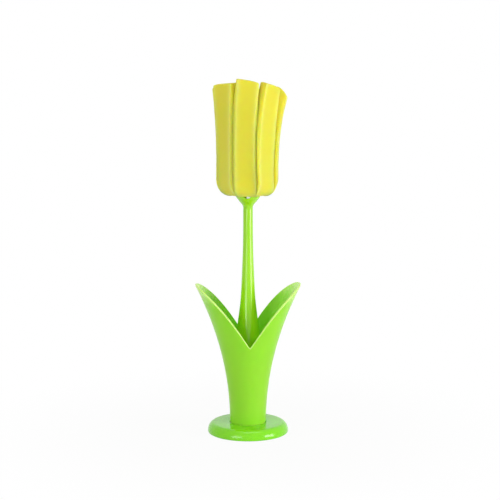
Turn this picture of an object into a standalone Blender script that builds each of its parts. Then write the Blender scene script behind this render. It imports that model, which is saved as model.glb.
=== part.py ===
"""Tulip-shaped sponge cup brush that stands upright in a leaf-shaped holder.

Metres, +Z up. The origin is on the floor under the middle of the round foot. The two leaves
point along +X and -X, and the front of the holder looks along -Y.
"""

from math import atan2, cos, hypot, pi, radians, sin, sqrt, tan

import bmesh
import bpy
from mathutils import Matrix, Vector

# Fits
GAP = 0.0003                    # what touching pieces keep between them
OVERRUN = 0.002                 # how far a cutter passes the face that it cuts

# Round foot of the holder
BASE_RADIUS = 0.0373
BASE_HEIGHT = 0.0096
BASE_CROWN = 0.0002             # fall of the top from the tube to the rounded edge
BASE_EDGE_RADIUS = 0.0060
BASE_HEEL_RADIUS = 0.0012
BASE_WALL = 0.0022
SOCKET_DEPTH = 0.0022
HUB_WALL = 0.0021
RIB_COUNT = 6
RIB_THICKNESS = 0.0016
HUB_SETBACK = 0.0012            # the hub ends this far above the floor
RIB_SETBACK = 0.0015

# Leaf tube
TUBE_RADIUS = 0.0166
VASE_WALL = 0.0018
LEAF_TIP_HEIGHT = 0.1398        # above the floor
LEAF_REACH = 0.0492             # tip of a leaf, from the axis
LEAF_FLARE_POWER = 2.047
NOTCH_HEIGHT = 0.0843           # bottom of the V above the floor
NOTCH_ROUND = 0.0010
LEAF_EDGE_BULGE = 0.0062        # rise of the leaf's edge over a straight line
LEAF_RIM_ROUND = 0.0007
VASE_FLOOR = 0.0022
VASE_FLOOR_RECESS = 0.0008
BOSS_RADIUS = 0.0044
BOSS_HEIGHT = 0.0090            # above the tube's floor
VASE_COLUMNS = 56
VASE_ROWS = 11
VASE_ROW_SHARE_POWER = 0.85     # below 1, rows crowd towards the flare

# Screws
BASE_SCREW_RADIUS = 0.0016
BASE_SCREW_HEAD_RADIUS = 0.0035
BASE_SCREW_HEAD_HEIGHT = 0.0022
BASE_SCREW_LENGTH = 0.0120      # under its head
CLAMP_SCREW_RADIUS = 0.0016
CLAMP_SCREW_HEAD_RADIUS = 0.0034
CLAMP_SCREW_HEAD_HEIGHT = 0.0022
CLAMP_SCREW_LENGTH = 0.0220
SCREW_POINT = 0.0018
PILOT_DEPTH_SPARE = 0.0008

# Stem
STEM_TOP = 0.2210               # rim of the collar above the floor
STEM_FOOT_RADIUS = 0.0140
STEM_NECK_RADIUS = 0.0044
STEM_WALL = 0.0020
STEM_CORE_HEIGHT = 0.0900       # hollow of the foot, from its lower edge
STEM_CORE_TIP_SHARE = 0.8
COLLAR_RADIUS = 0.0114
COLLAR_HEIGHT = 0.0110
COLLAR_WALL = 0.0015
COLLAR_NOTCH_RADIUS = 0.0039
COLLAR_NOTCH_DEPTH = 0.0022
BRUSH_TURN = radians(-6.2)      # how the brush stands turned in its holder

# height share from the foot to the collar's foot, flare share from neck to foot radius
STEM_OUTLINE_SHARES = (
    (0.0, 1.0),
    (0.07, 0.995),
    (0.25, 0.95),
    (0.38, 0.75),
    (0.45, 0.565),
    (0.51, 0.40),
    (0.57, 0.265),
    (0.63, 0.187),
    (0.71, 0.112),
    (0.79, 0.045),
    (0.87, 0.012),
    (1.0, 0.0),
)
# height share from the rim down, flare share from neck to rim radius
COLLAR_OUTLINE_SHARES = (
    (0.0, 1.0),
    (0.12, 0.94),
    (0.25, 0.83),
    (0.37, 0.67),
    (0.54, 0.48),
    (0.70, 0.24),
    (0.87, 0.06),
    (1.0, 0.0),
)

# Plug and clamp of the sponge head
PLUG_PROUD = 0.0002             # flange above the collar's rim
PLUG_SHANK_RADIUS = 0.0027
PLUG_SHANK_LENGTH = 0.0120      # below the collar
PLUG_CHAMFER = 0.0008
KEY_RADIUS = 0.0030
KEY_SHIFT = 0.0005              # the key sits to one side of its notch
KEY_REACH_SHARE = 0.97          # of the collar's radius
CLAMP_DISC_RADIUS = 0.0084
CLAMP_DISC_THICKNESS = 0.0018
CLAMP_DISC_ROUND = 0.0005

# Foam strips
STRIP_COUNT = 4
STRIP_WIDTH = 0.0205
PETAL_WAIST = 0.07              # share of the width that a petal loses halfway up
STRIP_THICKNESS = 0.0100
STRIP_PRESSED = 0.0020          # thickness where the clamp squeezes it
PRESSED_REACH = 0.0120          # the squeezed length, from the axis
PETAL_HEIGHT = 0.1056           # from the bottom of the head to the tallest tip
PETAL_RADIUS = 0.0276           # outer face low on the head, from the axis
FOLD_HEIGHT = 0.0140            # rounded fold at the foot of a petal
FOLD_DEPTH = 0.0123
PETAL_HOLLOW = 0.0008           # sunken middle of the outer face
PETAL_EDGE_ROUND = 0.0012
PETAL_LEAN = 0.0083             # outward lean of the widest petal at its tip
PETAL_LEAN_POWER = 2.3
FOLD_STEPS = 7
PETAL_STEPS = 9

# one entry for each petal, anticlockwise from the right-hand one
PETAL_WIDTH_SHARES = (1.0, 1.0, 1.0, 1.0, 1.0, 1.0, 0.94, 1.0)
PETAL_HEIGHT_SHARES = (0.889, 0.890, 0.890, 0.900, 0.925, 0.970, 0.992, 0.957)
PETAL_LEAN_SHARES = (1.0, 0.66, 0.45, 0.42, 0.38, 0.38, 0.38, 0.80)
PETAL_SKEW_SHARES = (-0.10, -0.06, 0.05, 0.08, 0.04, 0.09, -0.17, -0.19)
PETAL_TILT_SHARES = (1.05, 0.35, 0.20, 0.20, 0.30, 0.10, 0.0, 0.15)
# how far each petal is turned from an even star at its fold, halfway up and at its tip
PETAL_TURN_DEGREES = (
    (0.0, 0.0, 0.0),
    (0.0, 0.0, 0.0),
    (-2.0, -2.0, -1.0),
    (-4.0, -4.0, -2.0),
    (-6.0, -5.0, -2.0),
    (-9.0, -7.0, -2.0),
    (-0.5, -2.4, 2.6),
    (-6.0, -6.0, -6.5),
)
# how far each petal is twisted about its own length at its fold and at its tip
PETAL_TWIST_DEGREES = (
    (0.0, 0.0),
    (3.0, -4.0),
    (-2.0, 3.0),
    (2.0, -2.0),
    (-2.0, 2.0),
    (-3.0, 7.0),
    (0.0, 0.0),
    (15.0, -5.0),
)

# depth share from the outer to the inner face, across share from the middle to the side
PETAL_SECTION_SHARES = (
    (0.0, 0.0),
    (0.0, 0.80),
    (0.06, 0.95),
    (0.18, 1.0),
    (0.56, 1.0),
    (0.94, 1.0),
    (1.0, 0.90),
)

# Facets of the turned pieces
LARGE_STEPS = 40
MEDIUM_STEPS = 28
SMALL_STEPS = 20

# Heights that follow from the sizes above
SOCKET_FLOOR = BASE_HEIGHT - SOCKET_DEPTH
WEB_UNDERSIDE = SOCKET_FLOOR - BASE_WALL
SOCKET_RADIUS = TUBE_RADIUS + GAP
VASE_FOOT = SOCKET_FLOOR + GAP
VASE_FLOOR_UNDERSIDE = VASE_FOOT + VASE_FLOOR_RECESS
VASE_FLOOR_TOP = VASE_FLOOR_UNDERSIDE + VASE_FLOOR
BOSS_TOP = VASE_FLOOR_TOP + BOSS_HEIGHT
STEM_FOOT = VASE_FLOOR_TOP + GAP
COLLAR_FOOT = STEM_TOP - COLLAR_HEIGHT
BASE_SCREW_HOLE = BASE_SCREW_RADIUS + GAP
CLAMP_SCREW_HOLE = CLAMP_SCREW_RADIUS + GAP
BASE_SCREW_SEAT = WEB_UNDERSIDE - GAP
FLANGE_TOP = STEM_TOP + PLUG_PROUD
PLUG_FOOT = COLLAR_FOOT - PLUG_SHANK_LENGTH
STRIP_PITCH = STRIP_PRESSED + GAP
STACK_FOOT = FLANGE_TOP + GAP
STACK_TOP = STACK_FOOT + STRIP_COUNT * STRIP_PITCH
CLAMP_SCREW_SEAT = STACK_TOP + CLAMP_DISC_THICKNESS + GAP
PETAL_FOOT = STACK_FOOT
PETAL_COUNT = 2 * STRIP_COUNT
PETAL_HALF_ANGLE = pi / PETAL_COUNT

# name: colour, roughness, metallic
FINISHES = {
    "green_leaf_plastic": ((0.262, 0.753, 0.032), 0.30, 0.0),
    "green_foot_plastic": ((0.230, 0.700, 0.028), 0.15, 0.0),
    "green_stem_plastic": ((0.225, 0.620, 0.020), 0.25, 0.0),
    "white_plug_plastic": ((0.820, 0.820, 0.780), 0.35, 0.0),
    "white_disc_plastic": ((0.780, 0.780, 0.740), 0.40, 0.0),
    "yellow_foam": ((0.807, 0.753, 0.061), 0.95, 0.0),
    "clamp_screw_steel": ((0.560, 0.570, 0.580), 0.30, 1.0),
    "base_screw_steel": ((0.520, 0.530, 0.540), 0.35, 1.0),
}


def clear_scene():
    for old in list(bpy.data.objects):
        bpy.data.objects.remove(old, do_unlink=True)


def make_collection(name):
    collection = bpy.data.collections.new(name)
    bpy.context.scene.collection.children.link(collection)
    return collection


def make_material(name, finish):
    colour, roughness, metallic = FINISHES[finish]
    material = bpy.data.materials.new(name)
    material.use_nodes = True
    shader = material.node_tree.nodes["Principled BSDF"]
    shader.inputs["Base Color"].default_value = (*colour, 1.0)
    shader.inputs["Roughness"].default_value = roughness
    shader.inputs["Metallic"].default_value = metallic
    material.diffuse_color = (*colour, 1.0)
    return material


def add_object(name, mesh, collection, finish=None, parent=None):
    piece = bpy.data.objects.new(name, mesh)
    collection.objects.link(piece)
    if finish:
        mesh.materials.append(make_material(name + "_finish", finish))
    if parent:
        piece.parent = parent
    return piece


def add_pivot(name, collection, turned_by=0.0, parent=None):
    """Empty on the axis that a moving piece slides along."""
    pivot = bpy.data.objects.new(name, None)
    collection.objects.link(pivot)
    pivot.empty_display_size = TUBE_RADIUS
    pivot.rotation_euler.z = turned_by
    pivot.parent = parent
    return pivot


def arc(centre, radii, start, end, steps):
    """Points of an arc of a circle or an ellipse, angles in degrees."""
    points = []
    for i in range(steps + 1):
        angle = radians(start + (end - start) * i / steps)
        points.append((centre[0] + radii[0] * cos(angle), centre[1] + radii[1] * sin(angle)))
    return points


def smooth_curve(knots, steps):
    """Points of a Catmull-Rom curve that passes through each knot."""
    points = []
    last = len(knots) - 1
    for i in range(last):
        before = knots[max(i - 1, 0)]
        start = knots[i]
        end = knots[i + 1]
        after = knots[min(i + 2, last)]
        for j in range(steps):
            t = j / steps
            point = []
            for p0, p1, p2, p3 in zip(before, start, end, after):
                bend = (2 * p0 - 5 * p1 + 4 * p2 - p3) * t * t
                twist = (3 * p1 - 3 * p2 + p3 - p0) * t * t * t
                point.append((2 * p1 + (p2 - p0) * t + bend + twist) / 2)
            points.append(tuple(point))
    points.append(tuple(knots[-1]))
    return points


def turned_mesh(name, outline, closed=False):
    mesh = bpy.data.meshes.new(name)
    vertices = [(radius, 0.0, height) for radius, height in outline]
    edges = [(i, i + 1) for i in range(len(outline) - 1)]
    if closed:
        edges.append((len(outline) - 1, 0))
    mesh.from_pydata(vertices, edges, [])
    return mesh


def turn(piece, steps):
    """Spin a piece's outline about its own Z axis into a closed body."""
    screw = piece.modifiers.new("Turned", "SCREW")
    screw.axis = "Z"
    screw.angle = 2 * pi
    screw.steps = steps
    screw.render_steps = steps
    screw.use_merge_vertices = True
    screw.merge_threshold = 0.00001
    screw.use_smooth_shade = True


def combine(piece, helper, operation):
    helper.hide_render = True
    helper.display_type = "WIRE"
    boolean = piece.modifiers.new(helper.name, "BOOLEAN")
    boolean.operation = operation
    boolean.solver = "EXACT"
    boolean.object = helper


def shade_round(mesh):
    mesh.shade_smooth()
    mesh.set_sharp_from_angle(angle=radians(35))


def extruded_mesh(name, outline, thickness):
    """A flat outline in X and Z, drawn out by half its thickness each way along Y."""
    mesh = bpy.data.meshes.new(name)
    shape = bmesh.new()
    front = shape.faces.new([shape.verts.new((x, -thickness / 2, z)) for x, z in outline])
    grown = bmesh.ops.extrude_face_region(shape, geom=[front])
    moved = [item for item in grown["geom"] if isinstance(item, bmesh.types.BMVert)]
    bmesh.ops.translate(shape, verts=moved, vec=(0.0, thickness, 0.0))
    bmesh.ops.recalc_face_normals(shape, faces=shape.faces)
    shape.to_mesh(mesh)
    shape.free()
    return mesh


def base_edge_centre():
    return (BASE_RADIUS - BASE_EDGE_RADIUS, BASE_HEIGHT - BASE_CROWN - BASE_EDGE_RADIUS)


def base_outline():
    """Closed section of the foot, from the screw hole's top round by the rim and back."""
    centre = base_edge_centre()
    inner_edge = BASE_EDGE_RADIUS - BASE_WALL
    rim_inner = BASE_RADIUS - BASE_HEEL_RADIUS - BASE_WALL
    head_space = BASE_SCREW_HEAD_RADIUS + GAP
    hub = head_space + HUB_WALL
    outline = [(BASE_SCREW_HOLE, SOCKET_FLOOR), (SOCKET_RADIUS, SOCKET_FLOOR)]
    outline.append((SOCKET_RADIUS, BASE_HEIGHT - GAP))
    outline.append((SOCKET_RADIUS + GAP, BASE_HEIGHT))
    outline += arc(centre, (BASE_EDGE_RADIUS, BASE_EDGE_RADIUS), 90, 0, 7)
    heel = (BASE_RADIUS - BASE_HEEL_RADIUS, BASE_HEEL_RADIUS)
    outline += arc(heel, (BASE_HEEL_RADIUS, BASE_HEEL_RADIUS), 0, -90, 2)
    outline.append((rim_inner, 0.0))
    outline.append((rim_inner, centre[1]))
    outline += arc(centre, (rim_inner - centre[0], inner_edge), 25, 90, 4)
    outline.append((SOCKET_RADIUS + BASE_WALL, BASE_HEIGHT - BASE_WALL))
    outline.append((SOCKET_RADIUS + BASE_WALL, WEB_UNDERSIDE))
    outline += [(hub, WEB_UNDERSIDE), (hub, HUB_SETBACK), (head_space, HUB_SETBACK)]
    outline += [(head_space, WEB_UNDERSIDE), (BASE_SCREW_HOLE, WEB_UNDERSIDE)]
    return outline


def rib_outline():
    """Rib under the foot: it runs from the hub to the rim and is sunk into the walls it meets."""
    sink = BASE_WALL / 4
    start = BASE_SCREW_HEAD_RADIUS + GAP + HUB_WALL / 2
    end = BASE_RADIUS - BASE_HEEL_RADIUS - BASE_WALL / 2
    centre = base_edge_centre()
    top = BASE_HEIGHT - BASE_WALL + sink
    step = SOCKET_RADIUS + BASE_WALL
    return [
        (start, RIB_SETBACK),
        (end, RIB_SETBACK),
        (end, centre[1]),
        (centre[0] + (end - centre[0]) * 0.7, top - BASE_WALL),
        (centre[0], top - BASE_CROWN),
        (step + sink, top),
        (step - sink, WEB_UNDERSIDE + sink),
        (start, WEB_UNDERSIDE + sink),
    ]


def make_base_disc(parts, helpers):
    base = add_object("base_disc", turned_mesh("base_disc", base_outline(), True), parts,
                      "green_foot_plastic")
    turn(base, LARGE_STEPS)
    for i in range(RIB_COUNT):
        name = "rib_%d" % (i + 1)
        rib = add_object(name, extruded_mesh(name, rib_outline(), RIB_THICKNESS), helpers)
        rib.rotation_euler.z = 2 * pi * (i + 0.5) / RIB_COUNT
        combine(base, rib, "UNION")


def leaf_radius(height):
    """Outer radius of the leaf tube at a height above the floor."""
    share = (height - VASE_FOOT) / (LEAF_TIP_HEIGHT - VASE_FOOT)
    return TUBE_RADIUS + (LEAF_REACH - TUBE_RADIUS) * max(share, 0.0) ** LEAF_FLARE_POWER


def leaf_edge_height(across):
    """Height of the leaf's edge, seen from the front, at a distance from the middle of the V."""
    share = (sqrt(across * across + NOTCH_ROUND * NOTCH_ROUND) - NOTCH_ROUND) / LEAF_REACH
    rise = (LEAF_TIP_HEIGHT - NOTCH_HEIGHT) * share
    return NOTCH_HEIGHT + rise + 4 * LEAF_EDGE_BULGE * share * (1 - share)


def leaf_top(angle):
    """Height where the wall ends at an angle round the axis, by halving the range."""
    low = NOTCH_HEIGHT
    high = LEAF_TIP_HEIGHT
    for _ in range(40):
        middle = (low + high) / 2
        if middle < leaf_edge_height(leaf_radius(middle) * abs(cos(angle))):
            low = middle
        else:
            high = middle
    return low


def leaf_wall_mesh():
    """A flat grid wrapped round the axis: its upper edge follows the two leaves."""
    shape = bmesh.new()
    bmesh.ops.create_grid(shape, x_segments=VASE_COLUMNS, y_segments=VASE_ROWS, size=0.5)
    for vertex in shape.verts:
        angle = 2 * pi * round((vertex.co.x + 0.5) * VASE_COLUMNS) / VASE_COLUMNS
        share = (vertex.co.y + 0.5) ** VASE_ROW_SHARE_POWER
        height = VASE_FOOT + (leaf_top(angle) - VASE_FOOT) * share
        radius = leaf_radius(height)
        vertex.co = (radius * cos(angle), radius * sin(angle), height)
    bmesh.ops.remove_doubles(shape, verts=shape.verts, dist=GAP / 10)
    mesh = bpy.data.meshes.new("leaf_vase")
    shape.to_mesh(mesh)
    shape.free()
    return mesh


def vase_floor_outline():
    """Floor of the tube with its screw boss, from the boss's top down to the pilot hole."""
    edge = TUBE_RADIUS - VASE_WALL / 2
    pilot_top = BASE_SCREW_SEAT + BASE_SCREW_LENGTH + PILOT_DEPTH_SPARE
    return [
        (0.0, BOSS_TOP),
        (BOSS_RADIUS - GAP, BOSS_TOP),
        (BOSS_RADIUS, BOSS_TOP - GAP),
        (BOSS_RADIUS, VASE_FLOOR_TOP),
        (edge, VASE_FLOOR_TOP),
        (edge, VASE_FLOOR_UNDERSIDE),
        (BOSS_RADIUS, VASE_FLOOR_UNDERSIDE),
        (BOSS_RADIUS, VASE_FOOT),
        (BASE_SCREW_HOLE, VASE_FOOT),
        (BASE_SCREW_HOLE, pilot_top),
        (0.0, pilot_top),
    ]


def make_leaf_vase(parts, helpers):
    vase = add_object("leaf_vase", leaf_wall_mesh(), parts, "green_leaf_plastic")
    shell = vase.modifiers.new("Wall", "SOLIDIFY")
    shell.thickness = VASE_WALL
    shell.offset = -1.0
    shell.use_even_offset = True
    rim = vase.modifiers.new("Rounded rim", "BEVEL")
    rim.width = LEAF_RIM_ROUND
    rim.segments = 2
    rim.limit_method = "ANGLE"
    rim.angle_limit = radians(40)
    floor = add_object("vase_floor", turned_mesh("vase_floor", vase_floor_outline()), helpers)
    turn(floor, MEDIUM_STEPS)
    combine(vase, floor, "UNION")
    shade_round(vase.data)


def screw_outline(radius, length, head_radius, head_height):
    """Pan-head screw with its head up and the underside of its head at height zero."""
    dome = arc((0.0, head_height / 3), (head_radius, head_height * 2 / 3), 90, 0, 4)
    return dome + [
        (head_radius, 0.0),
        (radius, 0.0),
        (radius, SCREW_POINT - length),
        (radius / 4, -length),
        (0.0, -length),
    ]


def make_screw(name, finish, sizes, height, parts, parent=None, head_down=False):
    screw = add_object(name, turned_mesh(name, screw_outline(*sizes)), parts, finish, parent)
    turn(screw, SMALL_STEPS)
    screw.location.z = height
    if head_down:
        screw.rotation_euler.x = pi
    return screw


def stem_outer_points():
    """Outer side of the stem from the collar's foot down to its own foot."""
    length = COLLAR_FOOT - STEM_FOOT
    flare = STEM_FOOT_RADIUS - STEM_NECK_RADIUS
    knots = [(STEM_NECK_RADIUS + flare * out, STEM_FOOT + length * up)
             for up, out in reversed(STEM_OUTLINE_SHARES)]
    return smooth_curve(knots, 2)


def collar_outer_points():
    """Outer side of the collar from its rim down to the neck."""
    flare = COLLAR_RADIUS - STEM_NECK_RADIUS
    return [(STEM_NECK_RADIUS + flare * out, STEM_TOP - COLLAR_HEIGHT * down)
            for down, out in COLLAR_OUTLINE_SHARES]


def socket_radius():
    return PLUG_SHANK_RADIUS + GAP


def cup_points():
    """Inside of the collar from its throat up to the rim."""
    points = [(radius - COLLAR_WALL, height) for radius, height in collar_outer_points()
              if radius - COLLAR_WALL > socket_radius() + GAP]
    return list(reversed(points))


def stem_outline():
    """Whole section of the stem: plug socket, collar, outer side, hollow foot."""
    outer = stem_outer_points()
    cup = cup_points()
    socket_floor = PLUG_FOOT - GAP
    throat = cup[0][1] - (cup[0][0] - socket_radius())
    outline = [(0.0, socket_floor), (socket_radius(), socket_floor), (socket_radius(), throat)]
    outline += cup[:-1]
    lip = COLLAR_WALL / 3
    outline.append((COLLAR_RADIUS - COLLAR_WALL, STEM_TOP - lip))
    outline.append((COLLAR_RADIUS - COLLAR_WALL + lip, STEM_TOP))
    outline.append((COLLAR_RADIUS - lip, STEM_TOP))
    outline.append((COLLAR_RADIUS, STEM_TOP - lip))
    outline += collar_outer_points()[1:-1]
    outline += outer
    core_top = STEM_FOOT + STEM_CORE_HEIGHT
    core = [(radius - STEM_WALL, height) for radius, height in reversed(outer)
            if height < core_top]
    outline += core
    outline.append((core[-1][0] * STEM_CORE_TIP_SHARE, core_top))
    outline.append((0.0, core_top + STEM_WALL))
    return outline


def notch_cutter(helpers, parent):
    """Round bar across the collar's rim at the front."""
    mesh = bpy.data.meshes.new("collar_notch")
    bar = bmesh.new()
    bmesh.ops.create_cone(bar, cap_ends=True, segments=SMALL_STEPS, radius1=COLLAR_NOTCH_RADIUS,
                          radius2=COLLAR_NOTCH_RADIUS, depth=COLLAR_RADIUS)
    place = Matrix.Rotation(pi / 2, 4, "X")
    place.translation = (0.0, -COLLAR_RADIUS, STEM_TOP + COLLAR_NOTCH_RADIUS - COLLAR_NOTCH_DEPTH)
    bmesh.ops.transform(bar, matrix=place, verts=bar.verts)
    bar.to_mesh(mesh)
    bar.free()
    return add_object("collar_notch", mesh, helpers, parent=parent)


def make_stem(parts, helpers, pivot):
    stem = add_object("stem", turned_mesh("stem", stem_outline()), parts,
                      "green_stem_plastic", pivot)
    turn(stem, MEDIUM_STEPS)
    combine(stem, notch_cutter(helpers, pivot), "DIFFERENCE")


def plug_outline():
    """Plug: pilot hole, flange, cone that fits the cup, and shank."""
    pilot_foot = CLAMP_SCREW_SEAT - CLAMP_SCREW_LENGTH - PILOT_DEPTH_SPARE
    # the cup's wall leans by about 45 degrees, so its clearance is measured across the wall
    lean_gap = GAP * sqrt(2)
    cup = [(radius - lean_gap, height) for radius, height in reversed(cup_points())
           if radius - lean_gap > PLUG_SHANK_RADIUS]
    flange = COLLAR_RADIUS - COLLAR_WALL - lean_gap
    throat = cup[-1][1] - (cup[-1][0] - PLUG_SHANK_RADIUS)
    return [
        (0.0, pilot_foot),
        (CLAMP_SCREW_HOLE, pilot_foot),
        (CLAMP_SCREW_HOLE, FLANGE_TOP),
        (flange - GAP, FLANGE_TOP),
        (flange, FLANGE_TOP - GAP),
        *cup[1:],
        (PLUG_SHANK_RADIUS, throat),
        (PLUG_SHANK_RADIUS, PLUG_FOOT + PLUG_CHAMFER),
        (PLUG_SHANK_RADIUS - PLUG_CHAMFER, PLUG_FOOT),
        (0.0, PLUG_FOOT),
    ]


def key_mesh():
    """Half-round key on the flange, which lies in the notch of the collar."""
    centre = STEM_TOP + COLLAR_NOTCH_RADIUS - COLLAR_NOTCH_DEPTH
    drop = centre - FLANGE_TOP + GAP
    half = sqrt(KEY_RADIUS * KEY_RADIUS - drop * drop)
    outline = [(KEY_SHIFT + half, FLANGE_TOP - GAP)]
    for x, z in arc((KEY_SHIFT, centre), (KEY_RADIUS, KEY_RADIUS), -36, -144, 8):
        if z < FLANGE_TOP - GAP:
            outline.append((x, z))
    outline.append((KEY_SHIFT - half, FLANGE_TOP - GAP))
    reach = COLLAR_RADIUS * KEY_REACH_SHARE
    root = COLLAR_RADIUS - 2 * COLLAR_WALL
    mesh = extruded_mesh("plug_key", outline, reach - root)
    mesh.transform(Matrix.Translation((0.0, -(reach + root) / 2, 0.0)))
    return mesh


def make_head_plug(parts, helpers, pivot):
    plug = add_object("head_plug", turned_mesh("head_plug", plug_outline()), parts,
                      "white_plug_plastic", pivot)
    turn(plug, MEDIUM_STEPS)
    combine(plug, add_object("plug_key", key_mesh(), helpers, parent=pivot), "UNION")


def make_clamp_disc(parts, pivot):
    top = STACK_TOP + CLAMP_DISC_THICKNESS
    outline = [(CLAMP_SCREW_HOLE, top), (CLAMP_DISC_RADIUS - CLAMP_DISC_ROUND, top)]
    outline.append((CLAMP_DISC_RADIUS, top - CLAMP_DISC_ROUND))
    outline.append((CLAMP_DISC_RADIUS, STACK_TOP + CLAMP_DISC_ROUND))
    outline.append((CLAMP_DISC_RADIUS - CLAMP_DISC_ROUND, STACK_TOP))
    outline.append((CLAMP_SCREW_HOLE, STACK_TOP))
    disc = add_object("clamp_disc", turned_mesh("clamp_disc", outline, True), parts,
                      "white_disc_plastic", pivot)
    turn(disc, SMALL_STEPS)


def wedge_half_width(radius):
    """Room for half a petal between its two neighbours at a distance from the axis."""
    return radius * tan(PETAL_HALF_ANGLE) - GAP / 2 / cos(PETAL_HALF_ANGLE)


def petal_ring(outer, inner, half_width, twist=0.0, inset=0.0, tilt=0.0):
    """Section of a petal between its outer and inner point, each (radius, height)."""
    ring = []
    sides = list(PETAL_SECTION_SHARES)
    sides += [(depth, -across) for depth, across in reversed(PETAL_SECTION_SHARES) if across]
    span = Vector(inner) - Vector(outer)
    hollow = PETAL_HOLLOW * min(span.length / STRIP_THICKNESS, 1.0)
    for depth, across in sides:
        depth = inset + depth * (1 - 2 * inset)
        sink = hollow * (1 - abs(across) ** 3) * max(1 - 2 * depth, 0.0)
        point = Vector(outer) + span * depth + span.normalized() * sink
        along = point.x - outer[0]
        side = across * (1 - inset) * half_width
        radius = outer[0] + along * cos(twist) - side * sin(twist)
        room = wedge_half_width(radius)
        side = along * sin(twist) + side * cos(twist)
        # the tip is cut lowest along its outer edge
        rise = tilt * (0.5 - (1 - depth) ** 2)
        ring.append((radius, min(max(side, -room), room), point.y + rise))
    return ring


def petal_rings(number, level):
    """Sections of one petal from the clamp out, round the fold and up to its tip."""
    half_width = STRIP_WIDTH * PETAL_WIDTH_SHARES[number] / 2
    twists = [radians(angle) for angle in PETAL_TWIST_DEGREES[number]]
    pressed = wedge_half_width(PRESSED_REACH)
    floor = STACK_FOOT + level * STRIP_PITCH
    fold_centre = (PETAL_RADIUS - FOLD_DEPTH, PETAL_FOOT + FOLD_HEIGHT)
    outer_fold = arc(fold_centre, (FOLD_DEPTH, FOLD_HEIGHT), -90, 0, FOLD_STEPS)
    inner_fold = arc(fold_centre, (FOLD_DEPTH - STRIP_THICKNESS, FOLD_HEIGHT - STRIP_THICKNESS),
                     -90, 0, FOLD_STEPS)
    start = (PRESSED_REACH, floor)
    start_inner = (PRESSED_REACH, floor + STRIP_PRESSED)
    rings = [petal_ring(start, start_inner, pressed)]
    middle = (Vector(start) + Vector(outer_fold[0])) / 2
    middle_inner = (Vector(start_inner) + Vector(inner_fold[0])) / 2
    rings.append(petal_ring(middle, middle_inner, half_width))
    for i, (outer, inner) in enumerate(zip(outer_fold, inner_fold)):
        rings.append(petal_ring(outer, inner, half_width, twists[0] * (i / FOLD_STEPS) ** 2))
    rise = PETAL_HEIGHT * PETAL_HEIGHT_SHARES[number] - FOLD_HEIGHT
    lean = PETAL_LEAN * PETAL_LEAN_SHARES[number]
    tilt = STRIP_THICKNESS * PETAL_TILT_SHARES[number]
    skew = STRIP_WIDTH * PETAL_SKEW_SHARES[number]
    edge_share = PETAL_EDGE_ROUND / rise
    shares = [(i + 1) / PETAL_STEPS * (1 - edge_share) for i in range(PETAL_STEPS)]
    for share in shares + [1.0]:
        out = PETAL_RADIUS + lean * share ** PETAL_LEAN_POWER
        height = fold_centre[1] + rise * share
        # the sloping end is spread over the upper half of the petal
        slope = max(2 * share - 1, 0.0)
        inset = PETAL_EDGE_ROUND / STRIP_THICKNESS if share == 1.0 else 0.0
        waisted = half_width * (1 - PETAL_WAIST * 4 * share * (1 - share))
        twist = twists[0] + (twists[1] - twists[0]) * share
        ring = petal_ring((out, height), (out - STRIP_THICKNESS, height), waisted, twist, inset,
                          tilt * slope)
        rings.append([(x, y, z + skew * slope * y / STRIP_WIDTH) for x, y, z in ring])
    return rings


def smooth(share):
    """A share eased at both ends."""
    share = min(max(share, 0.0), 1.0)
    return share * share * (3 - 2 * share)


def petal_turn(x, y, z):
    """How far the foam at a point stands turned from an even star."""
    reach = (hypot(x, y) - PRESSED_REACH) / (PETAL_RADIUS - STRIP_THICKNESS)
    share = (z - FLANGE_TOP - FOLD_HEIGHT) / (PETAL_HEIGHT - FOLD_HEIGHT)
    share = min(max(share, 0.0), 1.0)
    weights = ((1 - share) * (1 - 2 * share), 4 * share * (1 - share), share * (2 * share - 1))
    turns = [sum(w * t for w, t in zip(weights, row)) for row in PETAL_TURN_DEGREES]
    petal = (atan2(y, x) / (2 * PETAL_HALF_ANGLE)) % PETAL_COUNT
    first = int(petal) % PETAL_COUNT
    mixed = smooth(petal - int(petal))
    mean = turns[first] * (1 - mixed) + turns[(first + 1) % PETAL_COUNT] * mixed
    return radians(mean) * smooth(reach)


def strip_mesh(name, number):
    """One strip: a petal, the squeezed middle and the petal across from it."""
    near = petal_rings(number, number)
    far = petal_rings(number + STRIP_COUNT, number)
    rings = list(reversed(near))
    # half a turn brings the far petal across; its two sides then change places
    rings += [[(-x, -y, z) for x, y, z in ring[:1] + ring[:0:-1]] for ring in far]
    shape = bmesh.new()
    loops = [[shape.verts.new(point) for point in ring] for ring in rings]
    for first, second in zip(loops, loops[1:]):
        for i in range(len(first)):
            j = (i + 1) % len(first)
            shape.faces.new((first[i], first[j], second[j], second[i]))
    shape.faces.new(loops[0])
    shape.faces.new(loops[-1])
    bmesh.ops.recalc_face_normals(shape, faces=shape.faces)
    place = Matrix.Rotation(2 * PETAL_HALF_ANGLE * number, 4, "Z")
    bmesh.ops.transform(shape, matrix=place, verts=shape.verts)
    for vertex in shape.verts:
        vertex.co = Matrix.Rotation(petal_turn(*vertex.co), 3, "Z") @ vertex.co
    mesh = bpy.data.meshes.new(name)
    shape.to_mesh(mesh)
    shape.free()
    shade_round(mesh)
    return mesh


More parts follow.
